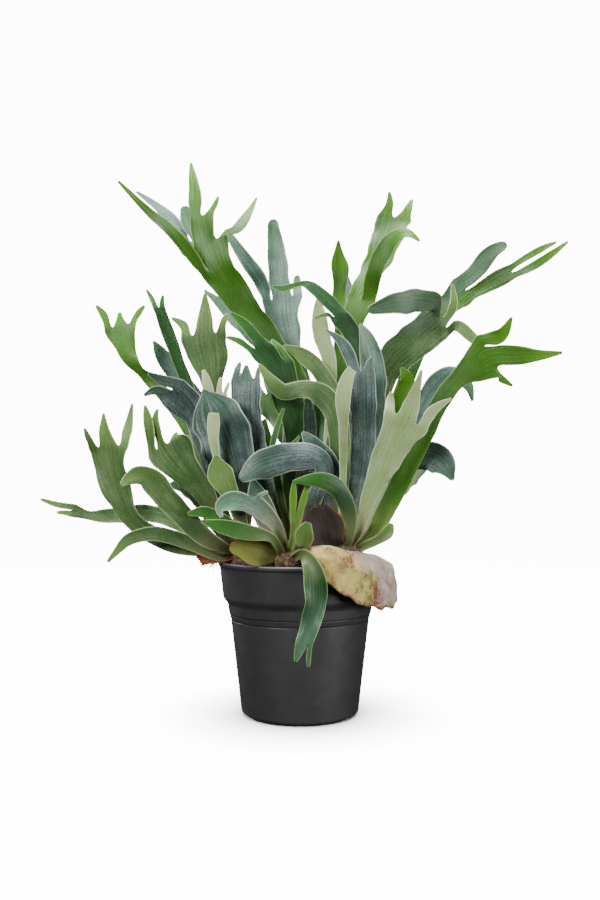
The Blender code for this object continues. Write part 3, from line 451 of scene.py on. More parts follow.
# seen from the front: (x, depth, z, width, turn), as in part.py but with some ends broader or rounder, and
# lobes as (strips of the blade, path, lobes of its own)
frondPaths = {
    # top left
    "frond_tall_antler": dict(knob="centre", finish="fresh", wave=1.6,
        path=[(-12, 12, 220, 13, -20), (2, 20, 325, 21), (-28, 16, 382, 27), (-62, 8, 429, 31),
        (-86, 0, 462, 38)],
        lobes=[(1, [(-120, -6, 486, 15), (-141, -8, 508, 12), (-157, -8, 521, 10), (-190, -10, 554, 3)]),
        (3, [(-93, -2, 489, 43)], [(2, [(-103, -3, 516, 29)], [(1, [(-110, -2, 541, 16), (-114, 4, 573, 3)]),
        (1, [(-90, -4, 526, 8), (-85, -4, 538, 3)])]), (1, [(-66, 2, 504, 14), (-54, 6, 520, 10),
        (-45, 8, 537, 3)])])]),
    "frond_behind_antler": dict(knob="back", finish="glaucous", cup=0.1, wave=1.6,
        path=[(0, 60, 240, 12, 25), (-16, 58, 350, 15), (-58, 46, 425, 18), (-93, 32, 468, 30),
        (-112, 29, 490, 38)],
        lobes=[(2, [(-136, 27, 515, 16), (-153, 26, 530, 10), (-171, 24, 543, 3)]), (2, [(-115, 28, 508, 19),
        (-119, 26, 522, 13)])]),
    "frond_slate_spear": dict(knob="centre", finish="glaucous", cup=0.08, wave=1.4,
        path=[(-16, 46, 235, 12, 15), (-10, 44, 320, 18), (-32, 38, 376, 22), (-57, 32, 404, 24),
        (-100, 26, 440, 3)]),
    "frond_centre_tall": dict(knob="centre", finish="glaucous", cup=0.1, wave=1.6,
        path=[(10, 34, 235, 12, -15), (6, 32, 330, 16), (-7, 29, 375, 19), (-16, 28, 405, 35),
        (-19, 27, 430, 43)],
        lobes=[(1, [(-40, 28, 448, 16), (-58, 28, 474, 14), (-75, 28, 499, 8)]), (2, [(-22, 25, 455, 23),
        (-25, 22, 485, 19), (-28, 19, 508, 13)]), (1, [(-3, 26, 442, 11), (-3, 25, 452, 8)])]),
    "frond_folded_green": dict(knob="centre", finish="deep", cup=0.15, wave=2.4,
        path=[(-12, -14, 240, 15, 18), (-6, -18, 283, 20), (-12, -20, 325, 31), (-23, -20, 360, 38)],
        lobes=[(3, [(-42, -22, 380, 25)], [(1, [(-62, -26, 386, 10), (-77, -27, 391, 3)]),
        (2, [(-56, -23, 402, 13), (-73, -24, 417, 3)])]), (1, [(-25, -16, 382, 9), (-29, -14, 389, 3)])]),
    "frond_olive_strap": dict(knob="centre", finish="olive", cup=0.1, wave=1.6,
        path=[(18, -12, 222, 12), (38, -8, 300, 16), (36, -6, 328, 17), (20, -5, 356, 18), (3, -4, 372, 16),
        (-18, -3, 382, 3)]),
    "frond_broad_slate": dict(knob="centre", finish="slate", cup=0.1,
        path=[(-34, -20, 225, 20, -18), (-48, -28, 278, 30), (-56, -30, 320, 35), (-56, -29, 345, 33)],
        lobes=[(1, [(-65, -28, 357, 8), (-62, -28, 365, 3)]), (2, [(-56, -29, 355, 10), (-56, -29, 362, 3)]),
        (1, [(-44, -28, 354, 7), (-42, -28, 360, 3)])]),
    "frond_arching_olive": dict(knob="right", finish="olive", cup=-0.12,
        path=[(37, -34, 208, 15), (43, -39, 255, 22), (37, -38, 309, 23), (20, -36, 333, 23),
        (1, -35, 337, 19), (-17, -34, 333, 17), (-30, -34, 345, 14), (-43, -32, 363, 3)]),
    "frond_swan_neck": dict(knob="right", finish="deep", cup=0.15, wave=1.6,
        path=[(52, -22, 230, 9), (63, -20, 320, 14), (64, -20, 370, 17), (52, -20, 398, 20),
        (41, -20, 413, 20)],
        lobes=[(1, [(30, -25, 415, 6), (16, -28, 411, 3)]), (3, [(28, -19, 430, 15), (11, -18, 444, 11),
        (0, -17, 447, 5), (-18, -18, 441, 8), (-29, -18, 444, 3)])]),
    # left of the middle
    "frond_left_slate_blade": dict(knob="left", finish="slate", wave=2.6,
        path=[(-60, -34, 208, 24, -12), (-68, -37, 250, 46), (-80, -38, 290, 60), (-90, -38, 315, 48),
        (-99, -38, 333, 8)]),
    "frond_left_dusk": dict(knob="left", finish="slate", cup=0.15, wave=2.6,
        path=[(-84, -14, 222, 14, -25), (-100, -15, 285, 24), (-114, -16, 316, 36), (-132, -18, 335, 38)],
        lobes=[(2, [(-150, -20, 336, 12), (-163, -20, 330, 3)]), (2, [(-147, -18, 347, 12),
        (-159, -18, 354, 3)])]),
    "frond_fishtail": dict(knob="left", finish="fresh",
        path=[(-92, -2, 222, 10), (-115, 4, 290, 12), (-145, 2, 335, 15), (-167, 0, 356, 17, -50),
        (-180, -2, 374, 18, 0), (-187, -4, 401, 37)],
        lobes=[(1, [(-204, -5, 413, 9), (-213, -6, 424, 3)]), (2, [(-188, -4, 410, 8), (-188, -4, 417, 3)]),
        (1, [(-171, -4, 413, 9), (-162, -4, 424, 3)])]),
    "frond_left_upright": dict(knob="left", finish="deep", wave=1.4, teeth=2,
        path=[(-76, 18, 238, 9, 30), (-104, 18, 306, 11), (-121, 14, 350, 13), (-136, 10, 390, 15),
        (-147, 8, 420, 14)],
        lobes=[(2, [(-155, 8, 432, 6), (-160, 8, 440, 3)]), (2, [(-144, 8, 428, 6), (-143, 8, 434, 3)])]),
    "frond_left_grey_lobe": dict(knob="left", finish="glaucous", cup=0.1, wave=1.6,
        path=[(-58, 36, 238, 9, -20), (-96, 34, 312, 13), (-138, 26, 364, 19), (-153, 24, 387, 3)]),
    "frond_grey_trident": dict(knob="left", finish="olive", cup=-0.1, wave=1.6,
        path=[(-62, 0, 235, 11, 15), (-84, -4, 305, 14), (-92, -8, 345, 25), (-97, -10, 374, 42),
        (-100, -11, 392, 49)],
        lobes=[(1, [(-121, -13, 403, 11), (-134, -14, 411, 3)]), (2, [(-99, -10, 414, 15),
        (-99, -10, 437, 3)]), (1, [(-81, -8, 405, 10), (-75, -6, 416, 3)])]),
    "frond_pale_fold": dict(knob="left", finish="pale", slot="frond_glaucous", cup=0.2,
        path=[(-59, -26, 235, 9), (-80, -26, 300, 16), (-88, -27, 327, 25)],
        lobes=[(2, [(-97, -27, 344, 10), (-101, -26, 357, 3)]), (1, [(-84, -27, 340, 7), (-82, -26, 349, 3)]),
        (1, [(-77, -27, 336, 6), (-74, -26, 344, 3)])]),
    "frond_left_bud": dict(knob="left", finish="pale", slot="frond_green", cup=0.2, wave=1.0, teeth=4,
        path=[(-66, -51, 205, 6), (-84, -48, 254, 7), (-90, -50, 285, 11), (-90, -50, 302, 14),
        (-90, -50, 310, 11)]),
    # left clump
    "frond_left_broad": dict(knob="left", finish="olive", slot="frond_green", wave=2.2,
        path=[(-84, -40, 196, 14, -15), (-100, -50, 229, 24), (-124, -55, 257, 38), (-139, -56, 278, 50)],
        lobes=[(1, [(-158, -56, 303, 11), (-162, -55, 320, 3)]), (1, [(-151, -56, 305, 8),
        (-148, -56, 316, 3)]), (2, [(-131, -56, 288, 9), (-127, -56, 292, 3)])]),
    "frond_left_round": dict(knob="left", finish="olive", slot="frond_green", cup=0.2, wave=2.0,
        path=[(-58, -56, 194, 10), (-72, -62, 226, 18), (-84, -63, 250, 29), (-87, -63, 263, 10)]),
    "frond_curled_tip": dict(knob="left", finish="olive", slot="frond_green", cup=0.18, wave=2.0,
        path=[(-82, -52, 173, 13, -12), (-101, -60, 184, 21), (-137, -68, 221, 26), (-160, -70, 246, 25),
        (-178, -73, 244, 15), (-187, -77, 236, 3)]),
    "frond_left_trident": dict(knob="left", finish="olive",
        path=[(-92, -30, 168, 13, -20), (-135, -31, 175, 19), (-172, -32, 198, 22), (-188, -34, 225, 31),
        (-197, -36, 255, 41), (-200, -37, 275, 47)],
        lobes=[(1, [(-221, -39, 287, 8), (-225, -40, 296, 3)]), (2, [(-204, -36, 293, 14),
        (-205, -34, 312, 3)]), (1, [(-179, -36, 297, 12), (-175, -34, 322, 3)])]),
    "frond_far_left": dict(knob="left", finish="olive", cup=0.15,
        path=[(-88, -16, 175, 10, 12), (-125, -18, 196, 16), (-156, -20, 207, 18), (-185, -22, 205, 18),
        (-208, -24, 204, 14), (-221, -24, 205, 9), (-236, -26, 210, 15)],
        lobes=[(2, [(-246, -26, 208, 6), (-254, -26, 208, 3)]), (2, [(-253, -28, 216, 7),
        (-271, -30, 222, 3)])]),
    "frond_left_horn": dict(knob="left", finish="olive", cup=0.15, wave=1.4,
        path=[(-86, -44, 162, 10, -15), (-114, -48, 176, 16), (-151, -50, 186, 16), (-177, -50, 181, 14),
        (-189, -50, 170, 9), (-201, -50, 156, 3)]),
    "frond_left_small": dict(knob="left", finish="glaucous", cup=0.15, wave=1.4,
        path=[(-92, -30, 196, 9), (-106, -38, 222, 13), (-120, -42, 236, 17), (-139, -44, 236, 3)]),
    "frond_dark_ribbon": dict(knob="front", finish="deep", slot="frond_olive", cup=0.1,
        path=[(-58, -68, 188, 8), (-86, -71, 204, 12), (-104, -72, 209, 12), (-118, -72, 206, 3)]),
    # low middle
    "frond_low_curl": dict(knob="front", finish="slate", cup=-0.2, wave=2.0,
        path=[(6, -58, 205, 14), (26, -62, 250, 20), (14, -63, 266, 26), (-18, -64, 264, 31),
        (-43, -66, 256, 30), (-57, -67, 246, 14)]),
    "frond_low_fold": dict(knob="front", finish="glaucous", cup=0.15, wave=2.0,
        path=[(-22, -68, 190, 12), (-36, -72, 207, 19), (-50, -74, 218, 23)],
        lobes=[(3, [(-71, -76, 221, 22), (-85, -78, 212, 11), (-81, -82, 203, 3)]), (1, [(-42, -75, 226, 8),
        (-33, -76, 230, 3)])]),
    "frond_low_green": dict(knob="front", finish="deep", wave=1.6,
        path=[(-30, -80, 182, 10), (-54, -88, 187, 17), (-80, -89, 193, 16), (-104, -89, 199, 3)]),
    "frond_bright_pair": dict(knob="front", finish="fresh", cup=0.15, wave=1.4,
        path=[(-6, -72, 186, 8), (-4, -78, 206, 14)],
        lobes=[(2, [(-7, -80, 226, 8), (-6, -80, 241, 3)]), (2, [(4, -80, 222, 8), (8, -80, 238, 3)])]),
    "frond_small_curl": dict(knob="front", finish="deep", cup=0.25,
        path=[(4, -74, 170, 9), (4, -84, 184, 22), (9, -86, 198, 6)]),
    "frond_hanging": dict(knob="front", finish="deep", cup=0.22, wave=3.2, coolFrom=62, coolPart=1.1,
        path=[(2, -80, 165, 11, 12), (10, -94, 157, 17), (16, -99, 138, 25), (16, -99, 112, 24, -14),
        (10, -98, 88, 21, 14), (5, -98, 74, 19)],
        lobes=[(1, [(9, -98, 61, 8), (9, -98, 46, 3)]), (3, [(-1, -98, 64, 12), (-5, -98, 52, 3)])]),
    "frond_small_fork": dict(knob="centre", finish="deep", cup=0.15, wave=1.2,
        path=[(-18, -27, 215, 8), (-28, -38, 262, 9)],
        lobes=[(2, [(-26, -39, 290, 7), (-17, -38, 317, 3)]), (2, [(-10, -42, 276, 6), (0, -43, 288, 3)])]),
    # right clump
    "frond_arching_leaf": dict(knob="right", finish="deep", cup=-0.15, wave=1.6,
        path=[(52, -68, 185, 10), (51, -78, 208, 16), (40, -84, 232, 19), (20, -88, 242, 17),
        (-8, -90, 240, 3)]),
    "frond_right_dark": dict(knob="right", finish="slate", wave=2.0,
        path=[(36, -50, 205, 14), (33, -51, 240, 25), (24, -52, 262, 29), (10, -52, 283, 15),
        (2, -50, 292, 3)]),
    "frond_right_slate": dict(knob="right", finish="slate", cup=0.1, wave=1.6,
        path=[(55, -52, 190, 13, 14), (60, -57, 225, 22), (66, -57, 275, 27), (66, -55, 325, 28),
        (65, -52, 352, 29)],
        lobes=[(2, [(45, -49, 384, 12), (26, -47, 399, 3)]), (2, [(72, -50, 364, 10), (76, -49, 370, 3)])]),
    "frond_right_behind": dict(knob="right", finish="glaucous", cup=0.1,
        path=[(64, -42, 222, 16, -20), (76, -38, 300, 25), (77, -35, 350, 27), (72, -33, 382, 23),
        (63, -30, 405, 3)]),
    "frond_narrow_bud": dict(knob="right", finish="pale", slot="frond_glaucous", cup=0.2, wave=1.2, teeth=4,
        path=[(43, -65, 196, 7, 12), (45, -66, 250, 8), (45, -66, 300, 11), (45, -65, 330, 17),
        (50, -62, 350, 14), (54, -60, 356, 11)]),
    "frond_pale_trident": dict(knob="right", finish="pale", cup=0.15,
        path=[(62, -64, 192, 12, 12), (74, -72, 230, 19), (89, -76, 262, 31), (101, -77, 286, 42),
        (111, -77, 303, 50)],
        lobes=[(1, [(94, -72, 323, 11), (95, -70, 334, 3)]), (2, [(119, -75, 330, 14), (127, -77, 357, 3)]),
        (1, [(138, -73, 314, 12), (158, -71, 327, 3)])]),
    "frond_long_strap": dict(knob="right", finish="fresh", cup=0.15, wave=1.6,
        path=[(75, -46, 184, 14, 12), (88, -51, 208, 20), (116, -56, 262, 21), (147, -54, 325, 20),
        (165, -51, 347, 21), (183, -49, 361, 36), (198, -49, 371, 50)],
        lobes=[(1, [(209, -50, 392, 17), (221, -50, 412, 3)]), (2, [(226, -48, 372, 22), (250, -47, 372, 12),
        (274, -46, 375, 3)]), (1, [(208, -43, 349, 10), (222, -38, 340, 3)])]),
    "frond_right_arch": dict(knob="right", finish="glaucous", cup=-0.2, wave=2.0,
        path=[(98, 8, 216, 12, 20), (123, -20, 300, 21), (138, -26, 335, 26), (157, -28, 351, 21),
        (175, -30, 342, 12), (180, -30, 324, 3)]),
    "frond_right_round": dict(knob="right", finish="slate", cup=0.2, wave=2.2,
        path=[(86, -28, 204, 12, 15), (108, -40, 255, 24), (130, -43, 268, 33), (149, -45, 261, 31),
        (158, -46, 245, 8)]),
    "frond_right_small": dict(knob="right", finish="fresh", cup=0.25, wave=1.6,
        path=[(80, -4, 236, 9), (100, -31, 318, 12), (112, -36, 344, 19), (105, -38, 359, 3)]),
    "frond_right_low": dict(knob="right", finish="deep", slot="frond_olive", cup=0.2, wave=1.4,
        path=[(84, -58, 181, 10), (92, -60, 188, 14), (95, -60, 197, 5)]),
    # upper right
    "frond_great_diagonal": dict(knob="back", finish="olive", wave=2.0, coolFrom=225,
        path=[(62, 30, 235, 14, 12), (84, 8, 345, 32), (118, 0, 385, 38), (146, -2, 408, 40)],
        lobes=[(2, [(136, -14, 428, 24, -30), (104, -24, 427, 24, -10), (76, -24, 420, 11)]),
        (1, [(160, -2, 424, 10), (159, -2, 447, 3)]), (1, [(165, -10, 403, 13), (184, -14, 388, 11),
        (199, -14, 396, 3)])]),
    "frond_far_right": dict(knob="back", finish="fresh", wave=1.6, coolFrom=215,
        path=[(78, 54, 262, 14, -15), (128, 28, 390, 20), (156, 16, 426, 26), (171, 14, 439, 32)],
        lobes=[(2, [(184, 11, 460, 18), (198, 8, 478, 17), (210, 6, 485, 13)]), (2, [(204, 11, 450, 18),
        (219, 8, 458, 18)], [(1, [(236, 5, 474, 8), (254, 3, 484, 7), (268, 0, 490, 3)]),
        (1, [(240, 4, 463, 10), (262, 2, 477, 8), (280, 0, 491, 3)])])]),
    "frond_top_green": dict(knob="back", finish="fresh",
        path=[(26, 26, 250, 13, -18), (38, 18, 340, 18), (48, 14, 390, 24), (64, 10, 430, 31)],
        lobes=[(2, [(84, 14, 475, 31), (97, 14, 514, 38)], [(1, [(94, 12, 530, 9), (93, 10, 543, 3)]),
        (1, [(112, 12, 522, 12), (117, 12, 535, 3)])]), (2, [(78, -2, 460, 19), (93, -8, 489, 19),
        (111, -12, 500, 13), (125, -14, 491, 3)])]),
    "frond_teardrop": dict(knob="back", finish="fresh", cup=0.2,
        path=[(28, 50, 262, 8, 30), (36, 44, 330, 9), (40, 38, 390, 11), (41, 34, 440, 18), (41, 30, 465, 20),
        (40, 26, 492, 3)]),
    "frond_dark_spear": dict(knob="back", finish="slate", cup=0.1, wave=1.6,
        path=[(45, 71, 270, 13, -8), (50, 52, 380, 22), (49, 50, 420, 26), (48, 46, 458, 3)]),
    "frond_pale_lobe": dict(knob="centre", finish="pale", cup=0.2, wave=1.6,
        path=[(26, 0, 250, 10), (32, 4, 350, 13), (22, 2, 395, 18), (20, 0, 415, 15), (18, 0, 431, 3)]),
    # back of the plant
    "frond_back_fork": dict(knob="back", finish="deep", wave=2.0,
        path=[(10, 80, 235, 16, 160), (-15, 92, 300, 30), (-34, 98, 330, 38)],
        lobes=[(2, [(-32, 102, 352, 16), (-32, 108, 374, 3)]), (2, [(-54, 104, 342, 16),
        (-68, 108, 354, 3)])]),
    "frond_back_broad": dict(knob="back", finish="glaucous", wave=2.0,
        path=[(40, 84, 232, 16, 190), (60, 100, 285, 32), (68, 106, 318, 40)],
        lobes=[(2, [(88, 108, 338, 17), (98, 112, 350, 3)]), (2, [(62, 110, 346, 18), (58, 116, 374, 3)])]),
    "frond_back_left": dict(knob="left", finish="fresh", wave=2.0,
        path=[(-80, 40, 195, 14, 170), (-104, 74, 228, 28), (-120, 90, 252, 38)],
        lobes=[(2, [(-118, 100, 274, 16), (-112, 108, 290, 3)]), (2, [(-138, 98, 262, 16),
        (-152, 106, 268, 3)])]),
    "frond_back_right": dict(knob="back", finish="olive", wave=2.0,
        path=[(70, 84, 195, 14, 190), (96, 102, 232, 28), (112, 110, 252, 38)],
        lobes=[(2, [(131, 116, 263, 16), (144, 122, 268, 3)]), (2, [(112, 120, 272, 17),
        (108, 126, 288, 3)])]),
    "frond_back_drooping": dict(knob="back", finish="deep", wave=2.2,
        path=[(16, 92, 186, 13, 195), (10, 116, 184, 22), (4, 134, 158, 28), (2, 140, 130, 26)],
        lobes=[(2, [(14, 142, 108, 10), (18, 142, 90, 3)]), (2, [(-8, 142, 104, 11), (-12, 142, 82, 3)])]),
    # half-hidden leaves that fill the middle, not in the CAD
    "inner_left": dict(knob="centre", finish="deep", cup=0.15,
        path=[(-26, 4, 186, 20, -10), (-36, 4, 212, 30), (-42, 6, 250, 31), (-40, 6, 288, 20),
        (-36, 6, 306, 3)]),
    "inner_middle": dict(knob="centre", finish="slate", cup=0.15,
        path=[(-2, -4, 192, 16, 10), (0, 0, 222, 27), (2, 0, 262, 30), (6, 2, 300, 24), (9, 2, 332, 3)]),
    "inner_right": dict(knob="centre", finish="deep", cup=0.15,
        path=[(12, 2, 196, 14, -12), (22, 4, 248, 24), (24, 6, 296, 27), (26, 8, 332, 20), (30, 8, 354, 3)]),
    "inner_low": dict(knob="front", finish="slate", cup=0.15,
        path=[(-24, -46, 182, 16, 12), (-34, -48, 200, 24), (-44, -50, 222, 25), (-50, -50, 244, 3)]),
    # papery shield fronds
    "shield_front": dict(knob="front", finish="mossy", cup=0.25, wave=1.4,
        path=[(-30, -61, 163, 18), (-40, -71, 168, 34), (-54, -74, 171, 34), (-66, -74, 171, 16)]),
    "dead_scrap": dict(knob="left", finish="rusty", cup=0.2, wave=2.0, teeth=4,
        path=[(-72, -36, 164, 14), (-82, -38, 167, 22), (-95, -36, 164, 20), (-104, -34, 158, 12)]),
    "shield_upright": dict(knob="right", finish="dusty", cup=0.3, wave=3.2, stalk=20, teeth=7,
        path=[(30, -62, 174, 30), (24, -66, 188, 48), (21, -67, 200, 44), (18, -66, 211, 24)]),
}

for name, settings in frondPaths.items():
    makeFrond(name, **settings)
print("fronds", len(frondPaths))


# black moulded polypropylene: charcoal, matt, with a faint moulding grain and scuffs that catch the light
potPlastic, node, shader = newMaterial("black moulded polypropylene", 0.5)
place = node("place")
scuffs = patches(node, place, 9, 8.0, 0.5, 0.75, 0, 0.35)
height = node("height", place)
paintedLipHighlight = node("ramp", height, 0.1566, 0.1578, 0, 0.9)  # painted highlight: the lip's edge is lighter; a material reads heights in metres
shade = node("mix", scuffs, colour("#2e2e30"), colour("#3b3b3d"))
for groove in (0.0984, 0.1046):  # painted shade: dark lines in the grooves, where they lie in shade
    away = node("absolute", node("subtract", height, groove))
    shade = node("mix", node("ramp", away, 0.0004, 0.0011, 0.8, 0), shade, colour("#101011"))
# the lip's painted highlight, in light grey, over the body colour
paint(shader, node("mix", paintedLipHighlight, shade, colour("#7c7e80")))
paint(shader, patches(node, place, 14, 6.0, 0.3, 0.7, 0.44, 0.58), "Roughness")
bump(node, shader, [(node("noise", place, 1000 / 40, 2.0), 0.25),
                    (node("noise", place, 1000 / 0.7, 2.0), 0.03)])


pot = dict(segments=160, notchBearings=(81, 207, 324), notchHalfWidth=5, notchSlope=2.3, notchHeight=3.6,
           ring=(50.5, 59.5), ringTop=2.8)
potOutside = [  # radius, height, how far the rounding starts from the corner
    (0, 0.8, 0), (19, 0.8, 0.5), (22, 3, 1), (50, 3, 1), (52, 0, 0.5), (57, 0, 0.8), (61, 3.5, 1.5),  # foot
    (71.7, 97.4, 0.2), (71.4, 98.2, 0.3), (71.9, 99, 0.2),  # lower groove
    (73.2, 103.6, 0.2), (73.1, 104.4, 0.3), (73.8, 105.2, 0.2),  # upper groove
    (75.2, 115, 1.5), (79.8, 121, 2), (83.4, 152.6, 0.6),  # collar
    (85, 154.2, 0.8), (85.2, 157, 0.9), (84.4, 158, 0.6)]  # lip
potInside = [(82.9, 158, 0.7), (81.9, 154, 1), (77.8, 121.6, 2), (73.2, 115.2, 1.5), (59.3, 5, 2), (0, 5, 0)]


def roundedLine(corners, steps=4):
    line = []
    for index, (r, z, size) in enumerate(corners):
        if size == 0:
            line.append((r, z))
            continue
        here = Vector((r, z))
        before, after = Vector(corners[index - 1][:2]), Vector(corners[index + 1][:2])
        start = here + (before - here).normalized() * min(size, (before - here).length * 0.45)
        end = here + (after - here).normalized() * min(size, (after - here).length * 0.45)
        for step in range(steps + 1):
            part = step / steps
            line.append(tuple(start * (1 - part) ** 2 + here * 2 * part * (1 - part) + end * part ** 2))
    return line


def spun(line, segments):
    bm = bmesh.new()
    verts = [bm.verts.new((r, 0, z)) for r, z in line]
    edges = [bm.edges.new(pair) for pair in zip(verts, verts[1:])]
    bmesh.ops.spin(bm, geom=verts + edges, cent=(0, 0, 0), axis=(0, 0, 1), angle=2 * math.pi,
                   steps=segments, use_merge=True)
    bmesh.ops.remove_doubles(bm, verts=bm.verts, dist=0.001)
    bmesh.ops.recalc_face_normals(bm, faces=bm.faces)
    return bm


bm = spun(roundedLine(potOutside + potInside), pot["segments"])
for vert in bm.verts:
    bearing = math.degrees(math.atan2(vert.co.y, vert.co.x)) % 360
    away = min(abs((bearing - notch + 180) % 360 - 180) for notch in pot["notchBearings"])
    if pot["ring"][0] < vert.co.xy.length < pot["ring"][1] and vert.co.z < pot["ringTop"]:
        notch = 1 - easeIn(away, pot["notchHalfWidth"], pot["notchHalfWidth"] + pot["notchSlope"])
        vert.co.z += (pot["notchHeight"] - vert.co.z) * notch
finishPiece("nursery_pot", bm, [potPlastic], ["pot"])
print("pot")


# damp peat and composted bark: near black, with brown crumbs
peat, node, shader, crumbs = flecked("peat potting mix", 0.95, 5, 9.0, "#15100c", "#4b3625", 0.42, 0.66)
bump(node, shader, [(crumbs, 1.2), (node("noise", node("place"), 1000 / 1.2, 4.0), 0.3)])
# dry bark chips: red-brown, paler on their worn edges
bark, node, shader, flakes = flecked("pine bark chips", 0.85, 6, 6.0, "#3a2416", "#7d5a3c", 0.38, 0.68)
bump(node, shader, [(flakes, 0.6)])

soil = dict(under=[(0, 5.4), (58.8, 5.4), (72.7, 115), (77.2, 121.8)], top=145.5, radius=80.2, rings=40,
            segments=120, lumps=1.6, lumpSize=11, flatEdge=(76, 80), chips=170, chipSizes=(1.6, 4.2),
            reach=75, seed=3)
topLine = [(soil["radius"] * (1 - step / soil["rings"]), soil["top"]) for step in range(soil["rings"] + 1)]
bm = spun(soil["under"] + topLine, soil["segments"])
for vert in bm.verts:
    if vert.co.z > soil["top"] - 1:
        lump = noise.fractal(vert.co / soil["lumpSize"], 0.8, 2.2, 4)
        edge = 1 - easeIn(vert.co.xy.length, *soil["flatEdge"])
        vert.co.z += max(min(lump, 1), -1) * soil["lumps"] * edge
finishPiece("peat_surface", bm, [peat], ["soil"])

chance = random.Random(soil["seed"])
bm = bmesh.new()
for number in range(soil["chips"]):
    chip = bmesh.ops.create_icosphere(bm, subdivisions=1, radius=1)["verts"]
    size = chance.uniform(*soil["chipSizes"])
    flat = (size, size * chance.uniform(0.4, 0.8), size * chance.uniform(0.2, 0.4))
    bmesh.ops.scale(bm, vec=flat, verts=chip)
    for vert in chip:
        vert.co += noise.noise_vector(vert.co * 0.6 + Vector((number, 0, 0))) * size * 0.3
    turn = Euler((chance.uniform(-0.4, 0.4), chance.uniform(-0.4, 0.4), chance.uniform(0, 6)))
    bmesh.ops.rotate(bm, cent=(0, 0, 0), matrix=turn.to_matrix(), verts=chip)
    radius, bearing = soil["reach"] * math.sqrt(chance.random()), chance.uniform(0, 2 * math.pi)
    spot = (radius * math.cos(bearing), radius * math.sin(bearing), soil["top"] + 0.2)
    bmesh.ops.translate(bm, vec=spot, verts=chip)
bmesh.ops.recalc_face_normals(bm, faces=bm.faces)
finishPiece("bark_chips", bm, [bark])
print("soil and bark")


# rhizome: dark brown creeping stem, wrapped in woolly scales
wool, node, shader = newMaterial("woolly rhizome scales", 0.95, 0.25)
place = node("place")
tufts = node("noise", place, 1000 / 4, 7.0)
old = patches(node, place, 30, 3.0, 0.4, 0.6)
shade = node("mix", old, colour("#3a2517"), colour("#5f4a35"))
shade = node("mix", node("ramp", tufts, 0.45, 0.7), shade, colour("#8a7050"))
paint(shader, shade)
bump(node, shader, [(tufts, 1.0), (node("noise", place, 1000 / 0.8, 4.0), 0.25)])
# dry chaffy hairs: thin, tan to rust brown
chaff = flecked("dry chaffy hairs", 0.8, 9, 3.0, "#5a3a22", "#a98a60", sheen=0.2)[0]
# rust-red dead fibres hanging over the rim
rust = flecked("rust-brown dead fibres", 0.8, 5, 4.0, "#6b2a16", "#b0653a")[0]

rhizome = dict(armRadius=9, voxel=1.4, lumps=1.7, lumpSize=7, level=146.3, hairs=900, hairLength=(3, 8),
               hairWidth=0.38, hairDepth=1.5, hairsFrom=148, seed=11)


def rod(bm, start, end, startRadius, endRadius, sides, caps=False):
    start, end = Vector(start), Vector(end)
    made = bmesh.ops.create_cone(bm, cap_ends=caps, segments=sides, radius1=startRadius, radius2=endRadius,
                                 depth=(end - start).length)["verts"]
    turn = (end - start).to_track_quat("Z", "Y").to_matrix()
    bmesh.ops.rotate(bm, cent=(0, 0, 0), matrix=turn, verts=made)
    bmesh.ops.translate(bm, vec=(start + end) / 2, verts=made)


bm = bmesh.new()
middle = knobs["centre"][0]
for centre, radius in knobs.values():
    ball = bmesh.ops.create_icosphere(bm, subdivisions=4, radius=radius)["verts"]
    bmesh.ops.translate(bm, vec=centre, verts=ball)
    if centre != middle:
        rod(bm, middle, centre, rhizome["armRadius"], rhizome["armRadius"], 24, True)
helper = addObject("rough rhizome", meshFrom("rough rhizome", bm))
joiner = helper.modifiers.new("joined skin", "REMESH")
joiner.mode = "VOXEL"
joiner.voxel_size = rhizome["voxel"]
joined = helper.evaluated_get(bpy.context.evaluated_depsgraph_get()).to_mesh()
bm = bmesh.new()
bm.from_mesh(joined)
bpy.data.objects.remove(helper)
bm.normal_update()
for vert in bm.verts:
    lump = noise.fractal(vert.co / rhizome["lumpSize"], 0.9, 2.1, 5)
    vert.co += vert.normal * (lump - 0.5) * rhizome["lumps"]
    vert.co.z = max(vert.co.z, rhizome["level"])
bmesh.ops.dissolve_degenerate(bm, edges=bm.edges, dist=0.01)
finishPiece("rhizome_skin", bm, [wool], ["rhizome"])

chance = random.Random(rhizome["seed"])
bm = bmesh.new()
for hair in range(rhizome["hairs"]):
    centre, radius = chance.choice(list(knobs.values()))
    outwards = Vector((chance.gauss(0, 1), chance.gauss(0, 1), abs(chance.gauss(0, 1)) - 0.3)).normalized()
    root = Vector(centre) + outwards * (radius - rhizome["hairDepth"])
    if root.z < rhizome["hairsFrom"]:
        continue
    droop = Vector((chance.uniform(-0.5, 0.5), chance.uniform(-0.5, 0.5), chance.uniform(-0.6, 0.5)))
    tip = root + (outwards + droop).normalized() * chance.uniform(*rhizome["hairLength"])
    rod(bm, root, tip, rhizome["hairWidth"], 0.03, 3)
finishPiece("rhizome_hairs", bm, [chaff])

fibres = dict(count=60, centre=(-86, -26, 160), spread=(7, 8, 4), lowest=159, length=(7, 16), width=0.55,
              seed=21)
chance = random.Random(fibres["seed"])
bm = bmesh.new()
for fibre in range(fibres["count"]):
    root = Vector([chance.gauss(middle, width / 2)
                   for middle, width in zip(fibres["centre"], fibres["spread"])])
    way = Vector((chance.uniform(-1, 0.3), chance.uniform(-0.8, 0.5), chance.uniform(-0.5, 0.7))).normalized()
    root.z = max(root.z, fibres["lowest"])
    knee = root + way * chance.uniform(*fibres["length"]) * 0.5
    tip = knee + (way + Vector((-0.3, -0.2, -0.7))).normalized() * chance.uniform(*fibres["length"]) * 0.5
    rod(bm, root, knee, fibres["width"], fibres["width"] * 0.8, 4)
    rod(bm, knee, tip, fibres["width"] * 0.8, 0.1, 4)
finishPiece("dead_fibres", bm, [rust])
print("rhizome")


